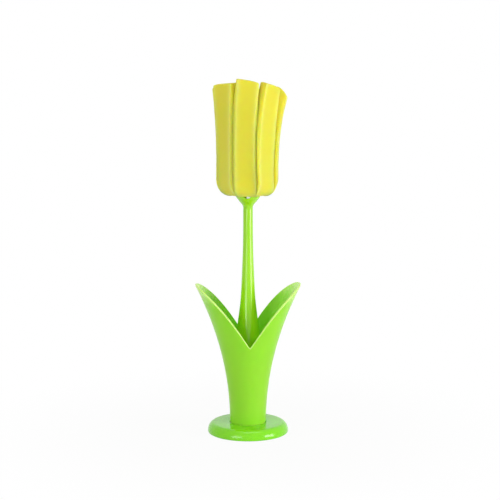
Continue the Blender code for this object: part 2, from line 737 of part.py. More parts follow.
def make_foam_strips(parts, helpers, pivot):
    hole = bpy.data.meshes.new("strip_hole")
    bar = bmesh.new()
    bmesh.ops.create_cone(bar, cap_ends=True, segments=SMALL_STEPS, radius1=CLAMP_SCREW_HOLE,
                          radius2=CLAMP_SCREW_HOLE, depth=STACK_TOP - STACK_FOOT + 2 * OVERRUN)
    bmesh.ops.translate(bar, verts=bar.verts, vec=(0.0, 0.0, (STACK_TOP + STACK_FOOT) / 2))
    bar.to_mesh(hole)
    bar.free()
    cutter = add_object("strip_hole", hole, helpers, parent=pivot)
    for number in range(STRIP_COUNT):
        name = "foam_strip_%d" % (number + 1)
        strip = add_object(name, strip_mesh(name, number), parts, "yellow_foam", pivot)
        combine(strip, cutter, "DIFFERENCE")


def main():
    clear_scene()
    parts = make_collection("cup_brush")
    helpers = make_collection("cutters")
    make_base_disc(parts, helpers)
    make_leaf_vase(parts, helpers)
    make_screw("base_screw", "base_screw_steel",
               (BASE_SCREW_RADIUS, BASE_SCREW_LENGTH, BASE_SCREW_HEAD_RADIUS, BASE_SCREW_HEAD_HEIGHT),
               BASE_SCREW_SEAT, parts, head_down=True)
    brush = add_pivot("brush_lift_axis", parts, turned_by=BRUSH_TURN)
    make_stem(parts, helpers, brush)
    head = add_pivot("head_pull_axis", parts, parent=brush)
    make_head_plug(parts, helpers, head)
    make_foam_strips(parts, helpers, head)
    make_clamp_disc(parts, head)
    make_screw("clamp_screw", "clamp_screw_steel",
               (CLAMP_SCREW_RADIUS, CLAMP_SCREW_LENGTH, CLAMP_SCREW_HEAD_RADIUS,
                CLAMP_SCREW_HEAD_HEIGHT),
               CLAMP_SCREW_SEAT, parts, head)


main()
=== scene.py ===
"""Sponge cup brush in its leaf-shaped holder, finished for a studio picture.

Lengths are in metres, +Z is up and the front of the holder looks along -Y. Each piece made here
stands for the plain solid that it replaces: the round foot, the leaf shell, the stem, the plug,
the four folded foam strips, the press disc and the two screws. A sidebar panel holds the sizes
and colours and can make each piece again.
"""
from math import atan2, cos, degrees, hypot, pi, radians, sin, sqrt, tan

import bmesh
import bpy
from bpy.props import FloatProperty, FloatVectorProperty, IntProperty, PointerProperty
from mathutils import Matrix, Vector, noise


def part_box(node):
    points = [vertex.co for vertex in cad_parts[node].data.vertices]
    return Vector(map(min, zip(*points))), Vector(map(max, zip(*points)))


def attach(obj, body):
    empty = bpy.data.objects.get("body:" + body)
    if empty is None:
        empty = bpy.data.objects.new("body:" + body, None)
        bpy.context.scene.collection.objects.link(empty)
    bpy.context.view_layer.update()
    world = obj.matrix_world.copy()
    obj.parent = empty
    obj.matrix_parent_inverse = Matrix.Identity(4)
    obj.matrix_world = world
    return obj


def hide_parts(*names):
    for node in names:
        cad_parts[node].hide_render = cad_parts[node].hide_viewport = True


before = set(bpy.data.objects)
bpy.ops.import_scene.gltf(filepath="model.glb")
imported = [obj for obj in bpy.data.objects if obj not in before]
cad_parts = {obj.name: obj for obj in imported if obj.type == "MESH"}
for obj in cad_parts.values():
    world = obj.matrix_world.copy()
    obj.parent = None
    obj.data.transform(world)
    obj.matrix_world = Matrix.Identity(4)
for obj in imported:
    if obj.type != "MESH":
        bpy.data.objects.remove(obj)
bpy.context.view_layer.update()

bl_info = {
    "name": "Sponge Cup Brush with Leaf Holder",
    "version": (1, 0, 0),
    "blender": (4, 5, 0),
    "location": "View3D > Sidebar > Cup Brush",
    "description": "Builds a sponge cup brush, its leaf-shaped holder and a small photo studio",
    "category": "Object",
}

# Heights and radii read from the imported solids
FOOT_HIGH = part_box("base_disc")[1]
SHELL_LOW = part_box("leaf_vase")[0]
STEM_LOW, STEM_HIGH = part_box("stem")
PLUG_LOW, PLUG_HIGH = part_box("head_plug")
DISC_LOW, DISC_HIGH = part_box("clamp_disc")
PLUG_SCREW_LOW, PLUG_SCREW_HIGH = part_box("clamp_screw")
FOOT_SCREW_LOW, FOOT_SCREW_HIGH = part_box("base_screw")

STRIP_COUNT = 4
PETAL_COUNT = 2 * STRIP_COUNT
PETAL_HALF_ANGLE = pi / PETAL_COUNT
# Steps of a petal's section: across its outer and inner face, round a cut corner, down a side
OUTER_STEPS = 16
INNER_STEPS = 12
CORNER_STEPS = 4
SIDE_STEPS = 8
# Steps along a petal: from the clamp to the fold, round the fold, and up to the tip
LEAD_STEPS = 6
FOLD_STEPS = 18
TALL_STEPS = 60
# A petal's cap: angles round its rim in degrees, then what is left of its face further in
CAP_RIM_DEGREES = (30, 60, 90)
CAP_FACE_SHARES = (0.75, 0.5, 0.25)
# Rings of the plain cut face at a petal's tip
CUT_RINGS = 6
# Share of a petal's thickness that the painted highlight along its cut edges reaches, and how fast
# that highlight falls off across the outer face
EDGE_HIGHLIGHT_REACH_SHARE = 0.10
EDGE_HIGHLIGHT_POWER = 5
# How steeply a petal's outer face rises from its hollow, and its sides swell, at the cut edges
HOLLOW_POWER = 3
SWELL_POWER = 5
# Step through the noise from one strip to the next, so that no two are alike
ROUGH_STEP = (7.1, 3.3, 0.0)
# Where the unevenness starts, as a share of the pressed middle's reach
UNEVEN_SHARE = 1.2
# Share of the notch's left half that the pocket beside the key takes
POCKET_SHARE = 0.95
# Most of the foam's thickness that a cut corner takes, and most of a side that a soft one takes
CUT_CORNER_SHARE = 0.3
SOFT_CORNER_SHARE = 0.45
# Steps up the shell's wall, and round a quarter of it
WALL_STEPS = 40
QUARTER_STEPS = 60
# How strongly those steps crowd at the rim, and at the notches and tips
WALL_CROWDING = 1.5
TURN_CROWDING = 0.7
# Rounds that find a height on the leaf's edge, and on the wall's inner face
EDGE_ROUNDS = 40
WALL_ROUNDS = 6
# Shares of the way that red, green and blue light travel inside plastic and inside foam
PLASTIC_GLOW_SHARES = (0.8, 1.0, 0.6)
FOAM_GLOW_SHARES = (1.0, 0.60, 0.10)
COAT_ROUGHNESS = 0.08
# Foam: where a cell's wall ends and its pore is full, and how much finer the grain is
PORE_EDGE_SHARES = (0.04, 0.36)
FINE_SCALE = 2.3
# Turning marks on a screw: across and along it, for each metre
STEEL_MARK_SCALE = (300, 300, 9000)
# Kinds of sockets on a node group
VALUE = "NodeSocketFloat"
COLOUR = "NodeSocketColor"
VECTOR = "NodeSocketVector"

# Stem: height share from the foot to the collar, flare share from neck to foot radius
STEM_OUTLINE_SHARES = (
    (0.0, 1.0), (0.07, 0.995), (0.25, 0.95), (0.38, 0.75), (0.45, 0.565), (0.51, 0.40),
    (0.57, 0.265), (0.63, 0.187), (0.71, 0.112), (0.79, 0.045), (0.87, 0.012), (1.0, 0.0),
)
# Collar: height share from the rim down, flare share from neck to rim radius
COLLAR_OUTLINE_SHARES = (
    (0.0, 1.0), (0.12, 0.94), (0.25, 0.83), (0.37, 0.67), (0.54, 0.48), (0.70, 0.24),
    (0.87, 0.06), (1.0, 0.0),
)

# Petals, anticlockwise from the right-hand one, each in its own frame: +X out, +Y anticlockwise
PETAL_WIDTH_SHARES = (1.0, 1.0, 1.0, 1.0, 1.0, 1.0, 0.94, 1.0)
PETAL_HEIGHT_SHARES = (0.882, 0.890, 0.890, 0.900, 0.925, 0.960, 0.992, 0.957)
PETAL_LEAN_SHARES = (1.0, 0.66, 0.45, 0.42, 0.52, 0.50, 0.38, 0.80)
PETAL_SKEW_SHARES = (-0.10, -0.06, 0.05, 0.08, 0.04, 0.09, -0.17, -0.25)
PETAL_TILT_SHARES = (0.95, 0.35, 0.20, 0.20, 0.30, 0.10, 0.0, 0.15)
PETAL_CORNER_SHARES = (0.0, 0.0, 0.0, 0.0, 0.0, 0.0, 0.05, 0.12)
# Width left at each petal's tip
PETAL_TIP_SHARES = (1.0, 1.0, 1.0, 1.0, 1.0, 1.0, 1.04, 0.80)
# How far each petal is turned from an even star at its fold, halfway up and at its tip
PETAL_TURN_DEGREES = (
    (0.0, 0.0, 0.0), (0.0, 0.0, 0.0), (-2.0, -2.0, -1.0), (-4.0, -4.0, -2.0),
    (-6.0, -5.0, -2.0), (-9.0, -7.0, -2.0), (-0.5, -2.6, 4.4), (-6.0, -6.0, 0.0),
)
# How far each petal is twisted about its own length at its fold and at its tip
PETAL_TWIST_DEGREES = (
    (0.0, 0.0), (3.0, -4.0), (-2.0, 3.0), (2.0, -2.0),
    (-2.0, 2.0), (-3.0, 7.0), (0.0, 0.0), (15.0, -5.0),
)

# Softboxes: degrees to the right of straight ahead, then metres: distance from the brush,
# height above the floor, and the box's own width and height
LAMP_PLACES = {
    "key": (59, 1.10, 0.21, 0.60, 0.40),
    "fill": (-36, 1.20, 0.25, 0.62, 0.45),
    "front": (0, 1.30, 0.60, 0.80, 0.60),
    "top": (20, 0.25, 1.50, 0.90, 0.90),
    "back": (200, 1.30, 0.60, 0.90, 0.70),
}
LAMPS_OUT_OF_GLOSS = ("front", "back")


def length(label, text, size):
    return FloatProperty(name=label, description=text, default=size, min=0.0, precision=5,
                         unit="LENGTH", subtype="DISTANCE")


def angle(label, text, size):
    return FloatProperty(name=label, description=text, default=radians(size), unit="ROTATION",
                         subtype="ANGLE")


def amount(label, text, value):
    return FloatProperty(name=label, description=text, default=value, min=0.0, precision=3)


def count(label, text, value):
    return IntProperty(name=label, description=text, default=value, min=3)


def colour(label, text, value):
    return FloatVectorProperty(name=label, description=text, default=value, size=3, min=0.0,
                               max=1.0, subtype="COLOR")


class CUPBRUSH_PG_fits(bpy.types.PropertyGroup):
    """Clearances and facet counts that all pieces share."""

    gap: length("Gap", "Clearance between touching pieces", 0.0003)
    soft_edge: length("Soft edge", "Radius left by the mould on sharp edges", 0.00035)
    turn: angle("Brush turn", "How the brush stands turned in its holder", -6.2)
    steps: count("Steps", "Facets round a turned piece", 160)


class CUPBRUSH_PG_foot(bpy.types.PropertyGroup):
    """Round foot of the holder."""

    radius: length("Radius", "Outer radius", FOOT_HIGH.x)
    height: length("Height", "Height at the tube", FOOT_HIGH.z)
    crown: length("Crown", "Fall of the top from the tube to the edge", 0.0002)
    edge: length("Edge", "Width of the rounded edge", 0.0060)
    edge_height: length("Edge height", "Height of the rounded edge", 0.0080)
    heel: length("Heel", "Radius at the floor", 0.0012)
    wall: length("Wall", "Wall of the hollow foot", 0.0022)
    socket: length("Socket", "Depth of the seat of the tube", 0.0022)
    hub_wall: length("Hub wall", "Wall round the screw head", 0.0021)
    hub_setback: length("Hub setback", "Height of the hub's end above the floor", 0.0012)
    ribs: count("Ribs", "Ribs underneath", 6)
    rib: length("Rib", "Thickness of a rib", 0.0016)
    rib_setback: length("Rib setback", "Height of a rib's lower edge above the floor", 0.0015)
    tint: colour("Colour", "Glossy moulded plastic", (0.240, 0.720, 0.006))
    roughness: amount("Roughness", "Roughness of the moulded surface", 0.10)


class CUPBRUSH_PG_shell(bpy.types.PropertyGroup):
    """Thin tube that opens into two leaves."""

    radius: length("Radius", "Outer radius of the tube at the foot", 0.0166)
    wall: length("Wall", "Wall thickness", 0.0018)
    tip: length("Tip", "Height of the leaf tips above the floor", 0.1398)
    reach: length("Reach", "Distance of the leaf tips from the axis", 0.0492)
    flare: amount("Flare", "Power of the curve from tube to tip", 2.047)
    notch: length("Notch", "Height of the bottom of the V", 0.0843)
    notch_round: length("Notch round", "Radius at the bottom of the V", 0.0010)
    bulge: length("Bulge", "Rise of the leaf's edge over a straight line", 0.0062)
    rim: length("Rim", "Radius along the leaf's edge", 0.0007)
    floor: length("Floor", "Thickness of the tube's floor", 0.0022)
    recess: length("Recess", "Recess under the floor", 0.0008)
    boss: length("Boss", "Radius of the screw boss", 0.0044)
    boss_height: length("Boss height", "Height of the screw boss above the floor", 0.0090)
    tint: colour("Colour", "Satin moulded plastic", (0.345, 0.735, 0.042))
    # Painted light: this colour stands in for light shining through the plastic at the leaf tips
    tip_light_tint: colour("Tip colour", "Thin plastic near the leaf tips", (0.620, 0.900, 0.260))
    fade: length("Fade", "Length of the paler part of a leaf tip", 0.0200)
    # Painted highlight: the rim is painted paler where it catches light
    rim_highlight_share: amount("Rim paleness", "How much paler the thin rim is", 0.9)
    roughness: amount("Roughness", "Roughness of the moulded surface", 0.30)
    gloss: amount("Gloss", "Specular level of the surface", 0.15)
    glow_depth: length("Glow depth", "How far light travels inside the wall", 0.0030)


class CUPBRUSH_PG_stem(bpy.types.PropertyGroup):
    """Stem with its flared foot and collar."""

    foot_radius: length("Foot radius", "Outer radius of the foot", 0.0140)
    neck_radius: length("Neck radius", "Radius of the slim neck", 0.0044)
    wall: length("Wall", "Wall of the hollow foot", 0.0020)
    core: length("Core", "Height of the hollow foot", 0.0900)
    core_tip: amount("Core tip", "Share of the core's radius left at its top", 0.8)
    collar_radius: length("Collar radius", "Radius of the collar's rim", 0.0114)
    collar_height: length("Collar height", "Height of the collar", 0.0110)
    collar_wall: length("Collar wall", "Wall of the collar", 0.0015)
    notch_radius: length("Notch radius", "Radius of the notch for the plug's key", 0.0039)
    notch_depth: length("Notch depth", "Depth of the notch below the rim", 0.0022)
    tint: colour("Colour", "Satin moulded plastic", (0.370, 0.760, 0.010))
    roughness: amount("Roughness", "Roughness of the moulded surface", 0.16)


class CUPBRUSH_PG_head(bpy.types.PropertyGroup):
    """Plug, key, press disc and screws."""

    shank: length("Shank", "Radius of the plug's shank", 0.0027)
    chamfer: length("Chamfer", "Chamfer at the shank's end", 0.0008)
    key_left: length("Key left", "The key's left side, from the middle of its notch", 0.0008)
    key_right: length("Key right", "The key's right side, from the middle of its notch", 0.00265)
    key_play: length("Key play", "Clearance under the key", 0.0004)
    pocket: length("Pocket", "Depth of the pocket beside the key", 0.0050)
    key_reach: amount("Key reach", "Reach of the key as a share of the collar's radius", 0.97)
    disc: length("Disc", "Radius of the press disc", 0.0084)
    disc_round: length("Disc round", "Rounding of the press disc", 0.0005)
    screw: length("Screw", "Outer radius of the screw threads", 0.0016)
    screw_head: length("Screw head", "Radius of the plug screw's head", 0.0034)
    foot_screw_head: length("Foot screw head", "Radius of the foot screw's head", 0.0035)
    head_height: length("Head height", "Height of the screw heads", 0.0022)
    point: length("Point", "Length of a screw's point", 0.0018)
    pitch: length("Pitch", "Pitch of the threads", 0.00125)
    thread: length("Thread", "Depth of the threads", 0.00038)
    runout: length("Runout", "Plain length under a screw's head", 0.0012)
    recess: length("Recess", "Half length of the cross recess", 0.0019)
    recess_width: length("Recess width", "Half width of the cross recess", 0.00042)
    recess_depth: length("Recess depth", "Depth of the cross recess", 0.0013)
    plug_tint: colour("Plug colour", "Plain moulded plastic", (0.900, 0.900, 0.880))
    plug_roughness: amount("Plug roughness", "Roughness of the plug and disc", 0.38)
    steel_tint: colour("Steel colour", "Plated steel", (0.560, 0.570, 0.580))
    steel_roughness: amount("Steel roughness", "Roughness of the screws", 0.28)
    steel_rubbing: amount("Steel rubbing", "How much smoother the rubbed places are", 0.08)
    steel_marks: amount("Steel marks", "How much rougher the turning marks are", 0.18)


class CUPBRUSH_PG_foam(bpy.types.PropertyGroup):
    """Four foam strips, crossed and folded up into eight petals."""

    width: length("Width", "Width of a strip", 0.0205)
    waist: amount("Waist", "Share of the width that a petal loses halfway up", 0.07)
    thickness: length("Thickness", "Thickness of a strip", 0.0100)
    pressed: length("Pressed", "Thickness under the press disc", 0.0020)
    pressed_reach: length("Pressed reach", "Reach of the pressed middle", 0.0120)
    height: length("Height", "Bottom of the head to the tallest tip", 0.1056)
    radius: length("Radius", "Outer face low on the head, from the axis", 0.0276)
    fold_height: length("Fold height", "Height of the rounded fold", 0.0140)
    fold_depth: length("Fold depth", "Depth of the rounded fold", 0.0123)
    sag: length("Sag", "How far the folds hang below the pressed middle", 0.0009)
    touch: length("Touch", "Gap left where two petals press together", 0.00004)
    swell: length("Swell", "How far the sides swell where two petals press together", 0.0025)
    hollow: length("Hollow", "Hollow of the outer face between its cut edges", 0.0008)
    edge: length("Edge", "Radius of the cut edges", 0.0012)
    lean: length("Lean", "Outward lean of the widest petal at its tip", 0.0083)
    lean_power: amount("Lean power", "Power of the leaning curve", 2.3)
    wave: length("Wave", "Unevenness of the cut faces", 0.00018)
    wave_size: length("Wave size", "Size of that unevenness", 0.0110)
    grain: length("Grain", "Height of the fine grain", 0.00006)
    grain_size: length("Grain size", "Size of the fine grain", 0.0011)
    cell: length("Cell", "Size of a foam cell", 0.0006)
    pore: length("Pore", "Depth of the pores", 0.00018)
    pore_shade_and_patch_tone: amount("Pore tone", "Share of the deep colour in pores and patches", 0.20)
    roughness: amount("Roughness", "Roughness between the pores", 0.88)
    pore_roughness: amount("Pore roughness", "How much rougher the pores are", 0.08)
    gloss: amount("Gloss", "Specular level of the foam", 0.15)
    sheen: amount("Sheen", "Soft sheen of the cut faces", 0.12)
    glow_depth: length("Glow depth", "How far light travels inside the foam", 0.0100)
    fill: amount("Fill", "How full the foam is, from 0 to 1", 0.9)
    tint: colour("Colour", "Foam", (0.800, 0.752, 0.068))
    # Painted shade down in the pores; the same colour also gives the random darker patches of foam
    pore_shade_and_patch_tint: colour("Deep colour", "Foam down in its pores", (0.800, 0.680, 0.030))
    # Painted highlight: the paler cut edges stand in for light caught on the rounded edges
    edge_highlight_tint: colour("Edge colour", "Foam along its cut edges", (0.900, 0.880, 0.210))


class CUPBRUSH_PG_stage(bpy.types.PropertyGroup):
    """Floor, lamps and camera."""

    camera_distance: length("Camera distance", "Camera to the brush along the floor", 1.500)
    camera_height: length("Camera height", "Camera above the floor", 0.407)
    camera_yaw: angle("Camera yaw", "Camera to the left of straight ahead", 4.0)
    aim_height: length("Aim height", "Height of the point that the camera aims at", 0.1704)
    light_height: length("Light height", "Height that the lamps aim at", 0.165)
    lens: FloatProperty(name="Lens", description="Focal length in millimetres", default=119.6)
    frame_width: FloatProperty(name="Frame width", description="Picture width in pixels",
                               default=500.0, subtype="PIXEL")
    frame_shift: FloatProperty(name="Frame shift", description="Shift to the left in pixels",
                               default=2.0, subtype="PIXEL")
    floor_radius: length("Floor radius", "Radius of the floor", 1.200)
    shadow_radius: length("Shadow radius", "Where the floor starts to fade to white", 0.060)
    fade_radius: length("Fade radius", "Where the floor is wholly white", 0.300)
    floor_white: amount("Floor white", "Share of plain white in the floor near the brush", 0.94)
    floor_tint: colour("Floor colour", "Floor", (0.750, 0.750, 0.750))
    ambient: amount("Ambient", "Strength of the light from all round", 0.36)
    key_power: amount("Key power", "Watts of the right-hand lamp", 7.2)
    fill_power: amount("Fill power", "Watts of the left-hand lamp", 4.2)
    front_power: amount("Front power", "Watts of the lamp in front", 1.5)
    top_power: amount("Top power", "Watts of the lamp overhead", 5.0)
    back_power: amount("Back power", "Watts of the lamp behind", 5.0)


class CUPBRUSH_PG_settings(bpy.types.PropertyGroup):
    """All sizes and colours of the brush, its holder and the studio."""

    fits: PointerProperty(type=CUPBRUSH_PG_fits)
    foot: PointerProperty(type=CUPBRUSH_PG_foot)
    shell: PointerProperty(type=CUPBRUSH_PG_shell)
    stem: PointerProperty(type=CUPBRUSH_PG_stem)
    head: PointerProperty(type=CUPBRUSH_PG_head)
    foam: PointerProperty(type=CUPBRUSH_PG_foam)
    stage: PointerProperty(type=CUPBRUSH_PG_stage)


# Shares

def clamp(share):
    """A share kept between 0 and 1."""
    return min(max(share, 0.0), 1.0)


def smooth(share):
    """A share eased at both ends."""
    share = clamp(share)
    return share * share * (3 - 2 * share)


# Outlines, as (radius, height) points

def arc(centre, radii, start, end, steps):
    """Points of an arc of a circle or an ellipse, angles in degrees."""
    points = []
    for i in range(steps + 1):
        turn = radians(start + (end - start) * i / steps)
        points.append((centre[0] + radii[0] * cos(turn), centre[1] + radii[1] * sin(turn)))
    return points


def smooth_curve(knots, steps):
    """Points of a Catmull-Rom curve that passes through each knot."""
    points = []
    last = len(knots) - 1
    for i in range(last):
        before = knots[max(i - 1, 0)]
        start = knots[i]
        end = knots[i + 1]
        after = knots[min(i + 2, last)]
        for j in range(steps):
            t = j / steps
            point = []
            for p0, p1, p2, p3 in zip(before, start, end, after):
                bend = (2 * p0 - 5 * p1 + 4 * p2 - p3) * t * t
                twist = (3 * p1 - 3 * p2 + p3 - p0) * t * t * t
                point.append((2 * p1 + (p2 - p0) * t + bend + twist) / 2)
            points.append(tuple(point))
    points.append(tuple(knots[-1]))
    return points


def soften(points, radius, closed=False, steps=3, least_turn=25):
    """An outline whose sharp corners are rounded off, as a mould leaves them."""
    done = []
    total = len(points)
    for i in range(total):
        here = Vector(points[i])
        if not closed and i in (0, total - 1):
            done.append(tuple(here))
            continue
        back = Vector(points[i - 1]) - here
        ahead = Vector(points[(i + 1) % total]) - here
        if degrees(pi - back.angle(ahead, pi)) < least_turn:
            done.append(tuple(here))
            continue
        cut = min(radius, back.length * SOFT_CORNER_SHARE, ahead.length * SOFT_CORNER_SHARE)
        start = here + back.normalized() * cut
        end = here + ahead.normalized() * cut
        for j in range(steps + 1):
            t = j / steps
            done.append(tuple(start * (1 - t) ** 2 + here * 2 * t * (1 - t) + end * t * t))
    return done


# Meshes

def skin(rows, closed=False, caps=False):
    """Surface through rows of points. A row of one point is a pole."""
    shape = bmesh.new()
    loops = [[shape.verts.new(point) for point in row] for row in rows]
    following = loops[1:] + loops[:1] if closed else loops[1:]
    for lower, upper in zip(loops, following):
        for i in range(max(len(lower), len(upper))):
            j = i + 1
            corners = [lower[i % len(lower)], lower[j % len(lower)],
                       upper[j % len(upper)], upper[i % len(upper)]]
            shape.faces.new(list(dict.fromkeys(corners)))
    if caps:
        shape.faces.new(loops[0])
        shape.faces.new(loops[-1])
    bmesh.ops.recalc_face_normals(shape, faces=shape.faces)
    return shape


def circle(radius, height, steps):
    """Points of a level circle, or its middle where the radius is zero."""
    turns = steps if radius > 0.0 else 1
    return [(radius * cos(2 * pi * i / turns), radius * sin(2 * pi * i / turns), height)
            for i in range(turns)]


def lathe(outline, steps, closed=False):
    """An outline turned round the Z axis."""
    return skin([circle(radius, height, steps) for radius, height in outline], closed)


def slab(outline, thickness):
    """A flat outline in X and Z with a thickness along Y."""
    near = [(x, -thickness / 2, z) for x, z in outline]
    far = [(x, thickness / 2, z) for x, z in outline]
    return skin([near, far], caps=True)


def new_object(name, data):
    """An object in the scene. It takes the place of an older one with its name."""
    old = bpy.data.objects.get(name)
    if old:
        bpy.data.objects.remove(old, do_unlink=True)
    made = bpy.data.objects.new(name, data)
    bpy.context.scene.collection.objects.link(made)
    return made


def add_mesh(name, shape):
    """An object made from a bmesh."""
    mesh = bpy.data.meshes.new(name)
    shape.to_mesh(mesh)
    shape.free()
    return new_object(name, mesh)


def combine(piece, helper, operation):
    """Join a helper to a piece, or cut it away, and remove the helper."""
    step = piece.modifiers.new("combined", "BOOLEAN")
    step.operation = operation
    step.solver = "EXACT"
    step.object = helper
    graph = bpy.context.evaluated_depsgraph_get()
    mesh = bpy.data.meshes.new_from_object(piece.evaluated_get(graph), depsgraph=graph)
    piece.modifiers.remove(step)
    old = piece.data
    piece.data = mesh
    mesh.name = piece.name
    bpy.data.meshes.remove(old)
    bpy.data.objects.remove(helper, do_unlink=True)


def turn_mesh(piece, turned_by):
    piece.data.transform(Matrix.Rotation(turned_by, 4, "Z"))


def finish_piece(piece, material, node, body, sharp=40):
    """Shade and paint a piece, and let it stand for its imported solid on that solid's body."""
    mesh = piece.data
    spread_nodes(material.node_tree)
    mesh.materials.clear()
    mesh.materials.append(material)
    mesh.shade_smooth()
    mesh.set_sharp_from_angle(angle=radians(sharp))
    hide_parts(node)
    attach(piece, body)


# Node helpers

def set_inputs(tree, node, inputs):
    """Set a node's inputs, by name or number, to values, or link them to sockets."""
    for name, value in inputs.items():
        socket = node.inputs[name]
        if isinstance(value, bpy.types.NodeSocket):
            tree.links.new(value, socket)
        elif socket.type == "RGBA":
            socket.default_value = (*value, 1.0)
        else:
            socket.default_value = value


def add_node(tree, kind, inputs=None, **settings):
    """A node with its settings and its inputs."""
    node = tree.nodes.new(kind)
    for name, value in settings.items():
        setattr(node, name, value)
    set_inputs(tree, node, inputs or {})
    return node


def mix_tints(tree, share, first, second):
    """Colour socket between two colours or sockets."""
    node = add_node(tree, "ShaderNodeMix", {0: share, 6: first, 7: second}, data_type="RGBA")
    return node.outputs[2]


def calculate(tree, operation, *values):
    """Value socket of a sum on values or sockets."""
    node = add_node(tree, "ShaderNodeMath", dict(enumerate(values)), operation=operation)
    return node.outputs[0]


def ease(tree, value, start, end, low=0.0, high=1.0):
    """Value socket that eases from low to high while a value goes from a start to an end."""
    node = add_node(tree, "ShaderNodeMapRange",
                    {"Value": value, "From Min": start, "From Max": end, "To Min": low,
                     "To Max": high}, interpolation_type="SMOOTHSTEP")
    return node.outputs["Result"]


def cloud(tree, place, scale, detail, roughness=0.5):
    """Value socket of a soft noise."""
    node = add_node(tree, "ShaderNodeTexNoise",
                    {"Vector": place, "Scale": scale, "Detail": detail, "Roughness": roughness})
    return node.outputs["Fac"]


def relief(tree, height, depth, strength=1.0):
    """Normal socket of a fine relief with a depth in metres."""
    node = add_node(tree, "ShaderNodeBump",
                    {"Strength": strength, "Distance": depth, "Height": height})
    return node.outputs["Normal"]


def read_mark(tree, name):
    """Value socket of what mark_points keeps on a piece."""
    return add_node(tree, "ShaderNodeAttribute", attribute_name=name).outputs["Fac"]


def mix_shaders(tree, share, first, second):
    """Shader socket between two shaders."""
    return add_node(tree, "ShaderNodeMixShader", {0: share, 1: first, 2: second}).outputs["Shader"]


def spread_nodes(tree):
    """Lay the nodes out in columns, in the order in which they were made."""
    for i, node in enumerate(tree.nodes):
        node.location = (240 * (i // 4), -260 * (i % 4))


def new_group(name, inputs, outputs):
    """Shader node group, its given sockets and its end node, or the older group alone."""
    old = bpy.data.node_groups.get(name)
    if old:
        return old, None, None
    group = bpy.data.node_groups.new(name, "ShaderNodeTree")
    for label, kind, default in inputs:
        socket = group.interface.new_socket(name=label, in_out="INPUT", socket_type=kind)
        if default is not None:
            socket.default_value = default
    for label, kind in outputs:
        group.interface.new_socket(name=label, in_out="OUTPUT", socket_type=kind)
    given = group.nodes.new("NodeGroupInput").outputs
    return group, given, group.nodes.new("NodeGroupOutput")


def moulded_surface_group():
    """Slow change of tone and roughness, with the fine grain and sink of a moulding."""
    group, given, result = new_group(
        "moulded_surface",
        (("Vector", VECTOR, None), ("Colour", COLOUR, None), ("Deep Colour", COLOUR, None),
         ("Tone", VALUE, 0.2), ("Roughness", VALUE, 0.3), ("Rubbing", VALUE, 0.05),
         ("Sink Scale", VALUE, 70.0), ("Grain Scale", VALUE, 2600.0), ("Grain", VALUE, 0.05)),
        (("Colour", COLOUR), ("Roughness", VALUE), ("Height", VALUE)),
    )
    if given is None:
        return group
    sink = cloud(group, given["Vector"], given["Sink Scale"], detail=2.0, roughness=0.45)
    grain = cloud(group, given["Vector"], given["Grain Scale"], detail=3.0, roughness=0.6)
    share = calculate(group, "MULTIPLY", sink, given["Tone"])
    tint = mix_tints(group, share, given["Colour"], given["Deep Colour"])
    rub = calculate(group, "MULTIPLY_ADD", grain, given["Rubbing"], given["Roughness"])
    height = calculate(group, "MULTIPLY_ADD", grain, given["Grain"], sink)
    set_inputs(group, result, {"Colour": tint, "Roughness": rub, "Height": height})
    spread_nodes(group)
    return group


def foam_cells_group():
    """Open cells of cut foam: pores, the walls between them and a slow change of tone."""
    group, given, result = new_group(
        "foam_cells",
        (("Vector", VECTOR, None), ("Cell Scale", VALUE, 1600.0), ("Patch Scale", VALUE, 60.0)),
        (("Pore", VALUE), ("Patch", VALUE), ("Height", VALUE)),
    )
    if given is None:
        return group
    walls = add_node(group, "ShaderNodeTexVoronoi",
                     {"Vector": given["Vector"], "Scale": given["Cell Scale"]},
                     feature="DISTANCE_TO_EDGE")
    pore = ease(group, walls.outputs["Distance"], *PORE_EDGE_SHARES)
    fine_scale = calculate(group, "MULTIPLY", given["Cell Scale"], FINE_SCALE)
    fine = cloud(group, given["Vector"], fine_scale, detail=2.0)
    patch = cloud(group, given["Vector"], given["Patch Scale"], detail=3.0, roughness=0.55)
    height = calculate(group, "SUBTRACT", fine, pore)
    set_inputs(group, result, {"Pore": pore, "Patch": patch, "Height": height})
    spread_nodes(group)
    return group


def new_material(name):
    """Material with a fresh node tree, its shader and the object's own coordinates."""
    material = bpy.data.materials.get(name) or bpy.data.materials.new(name)
    material.use_nodes = True
    tree = material.node_tree
    tree.nodes.clear()
    output = tree.nodes.new("ShaderNodeOutputMaterial")
    shader = tree.nodes.new("ShaderNodeBsdfPrincipled")
    tree.links.new(shader.outputs["BSDF"], output.inputs["Surface"])
    place = tree.nodes.new("ShaderNodeTexCoord").outputs["Object"]
    return material, tree, shader, place


def deeper(tint, share=0.72):
    """A deeper tone of a colour."""
    return tuple(channel ** (2 - share) for channel in tint)


def moulded_plastic(name, tint, roughness, bump, tone=0.25, rubbing=0.05, coat=0.0, glow=0.0,
                    gloss=0.3, glow_depth=0.0015):
    """Moulded plastic with its fine grain, slow sink marks and the glow of light inside it."""
    material, tree, shader, place = new_material(name)
    surface = add_node(tree, "ShaderNodeGroup", {
        "Vector": place,
        "Colour": tint,
        "Deep Colour": deeper(tint),
        "Tone": tone,
        "Roughness": roughness,
        "Rubbing": rubbing,
    }, node_tree=moulded_surface_group())
    set_inputs(tree, shader, {
        "Base Color": surface.outputs["Colour"],
        "Roughness": surface.outputs["Roughness"],
        "Normal": relief(tree, surface.outputs["Height"], bump),
        "Specular IOR Level": gloss,
        "Coat Weight": coat,
        "Coat Roughness": COAT_ROUGHNESS,
        "Subsurface Weight": glow,
        "Subsurface Radius": PLASTIC_GLOW_SHARES,
        "Subsurface Scale": glow_depth,
    })
    return material, tree, shader, surface, place


def foot_plastic(foot):
    return moulded_plastic("foot_plastic", foot.tint, foot.roughness, bump=0.00003, coat=0.2,
                           glow=0.3)[0]


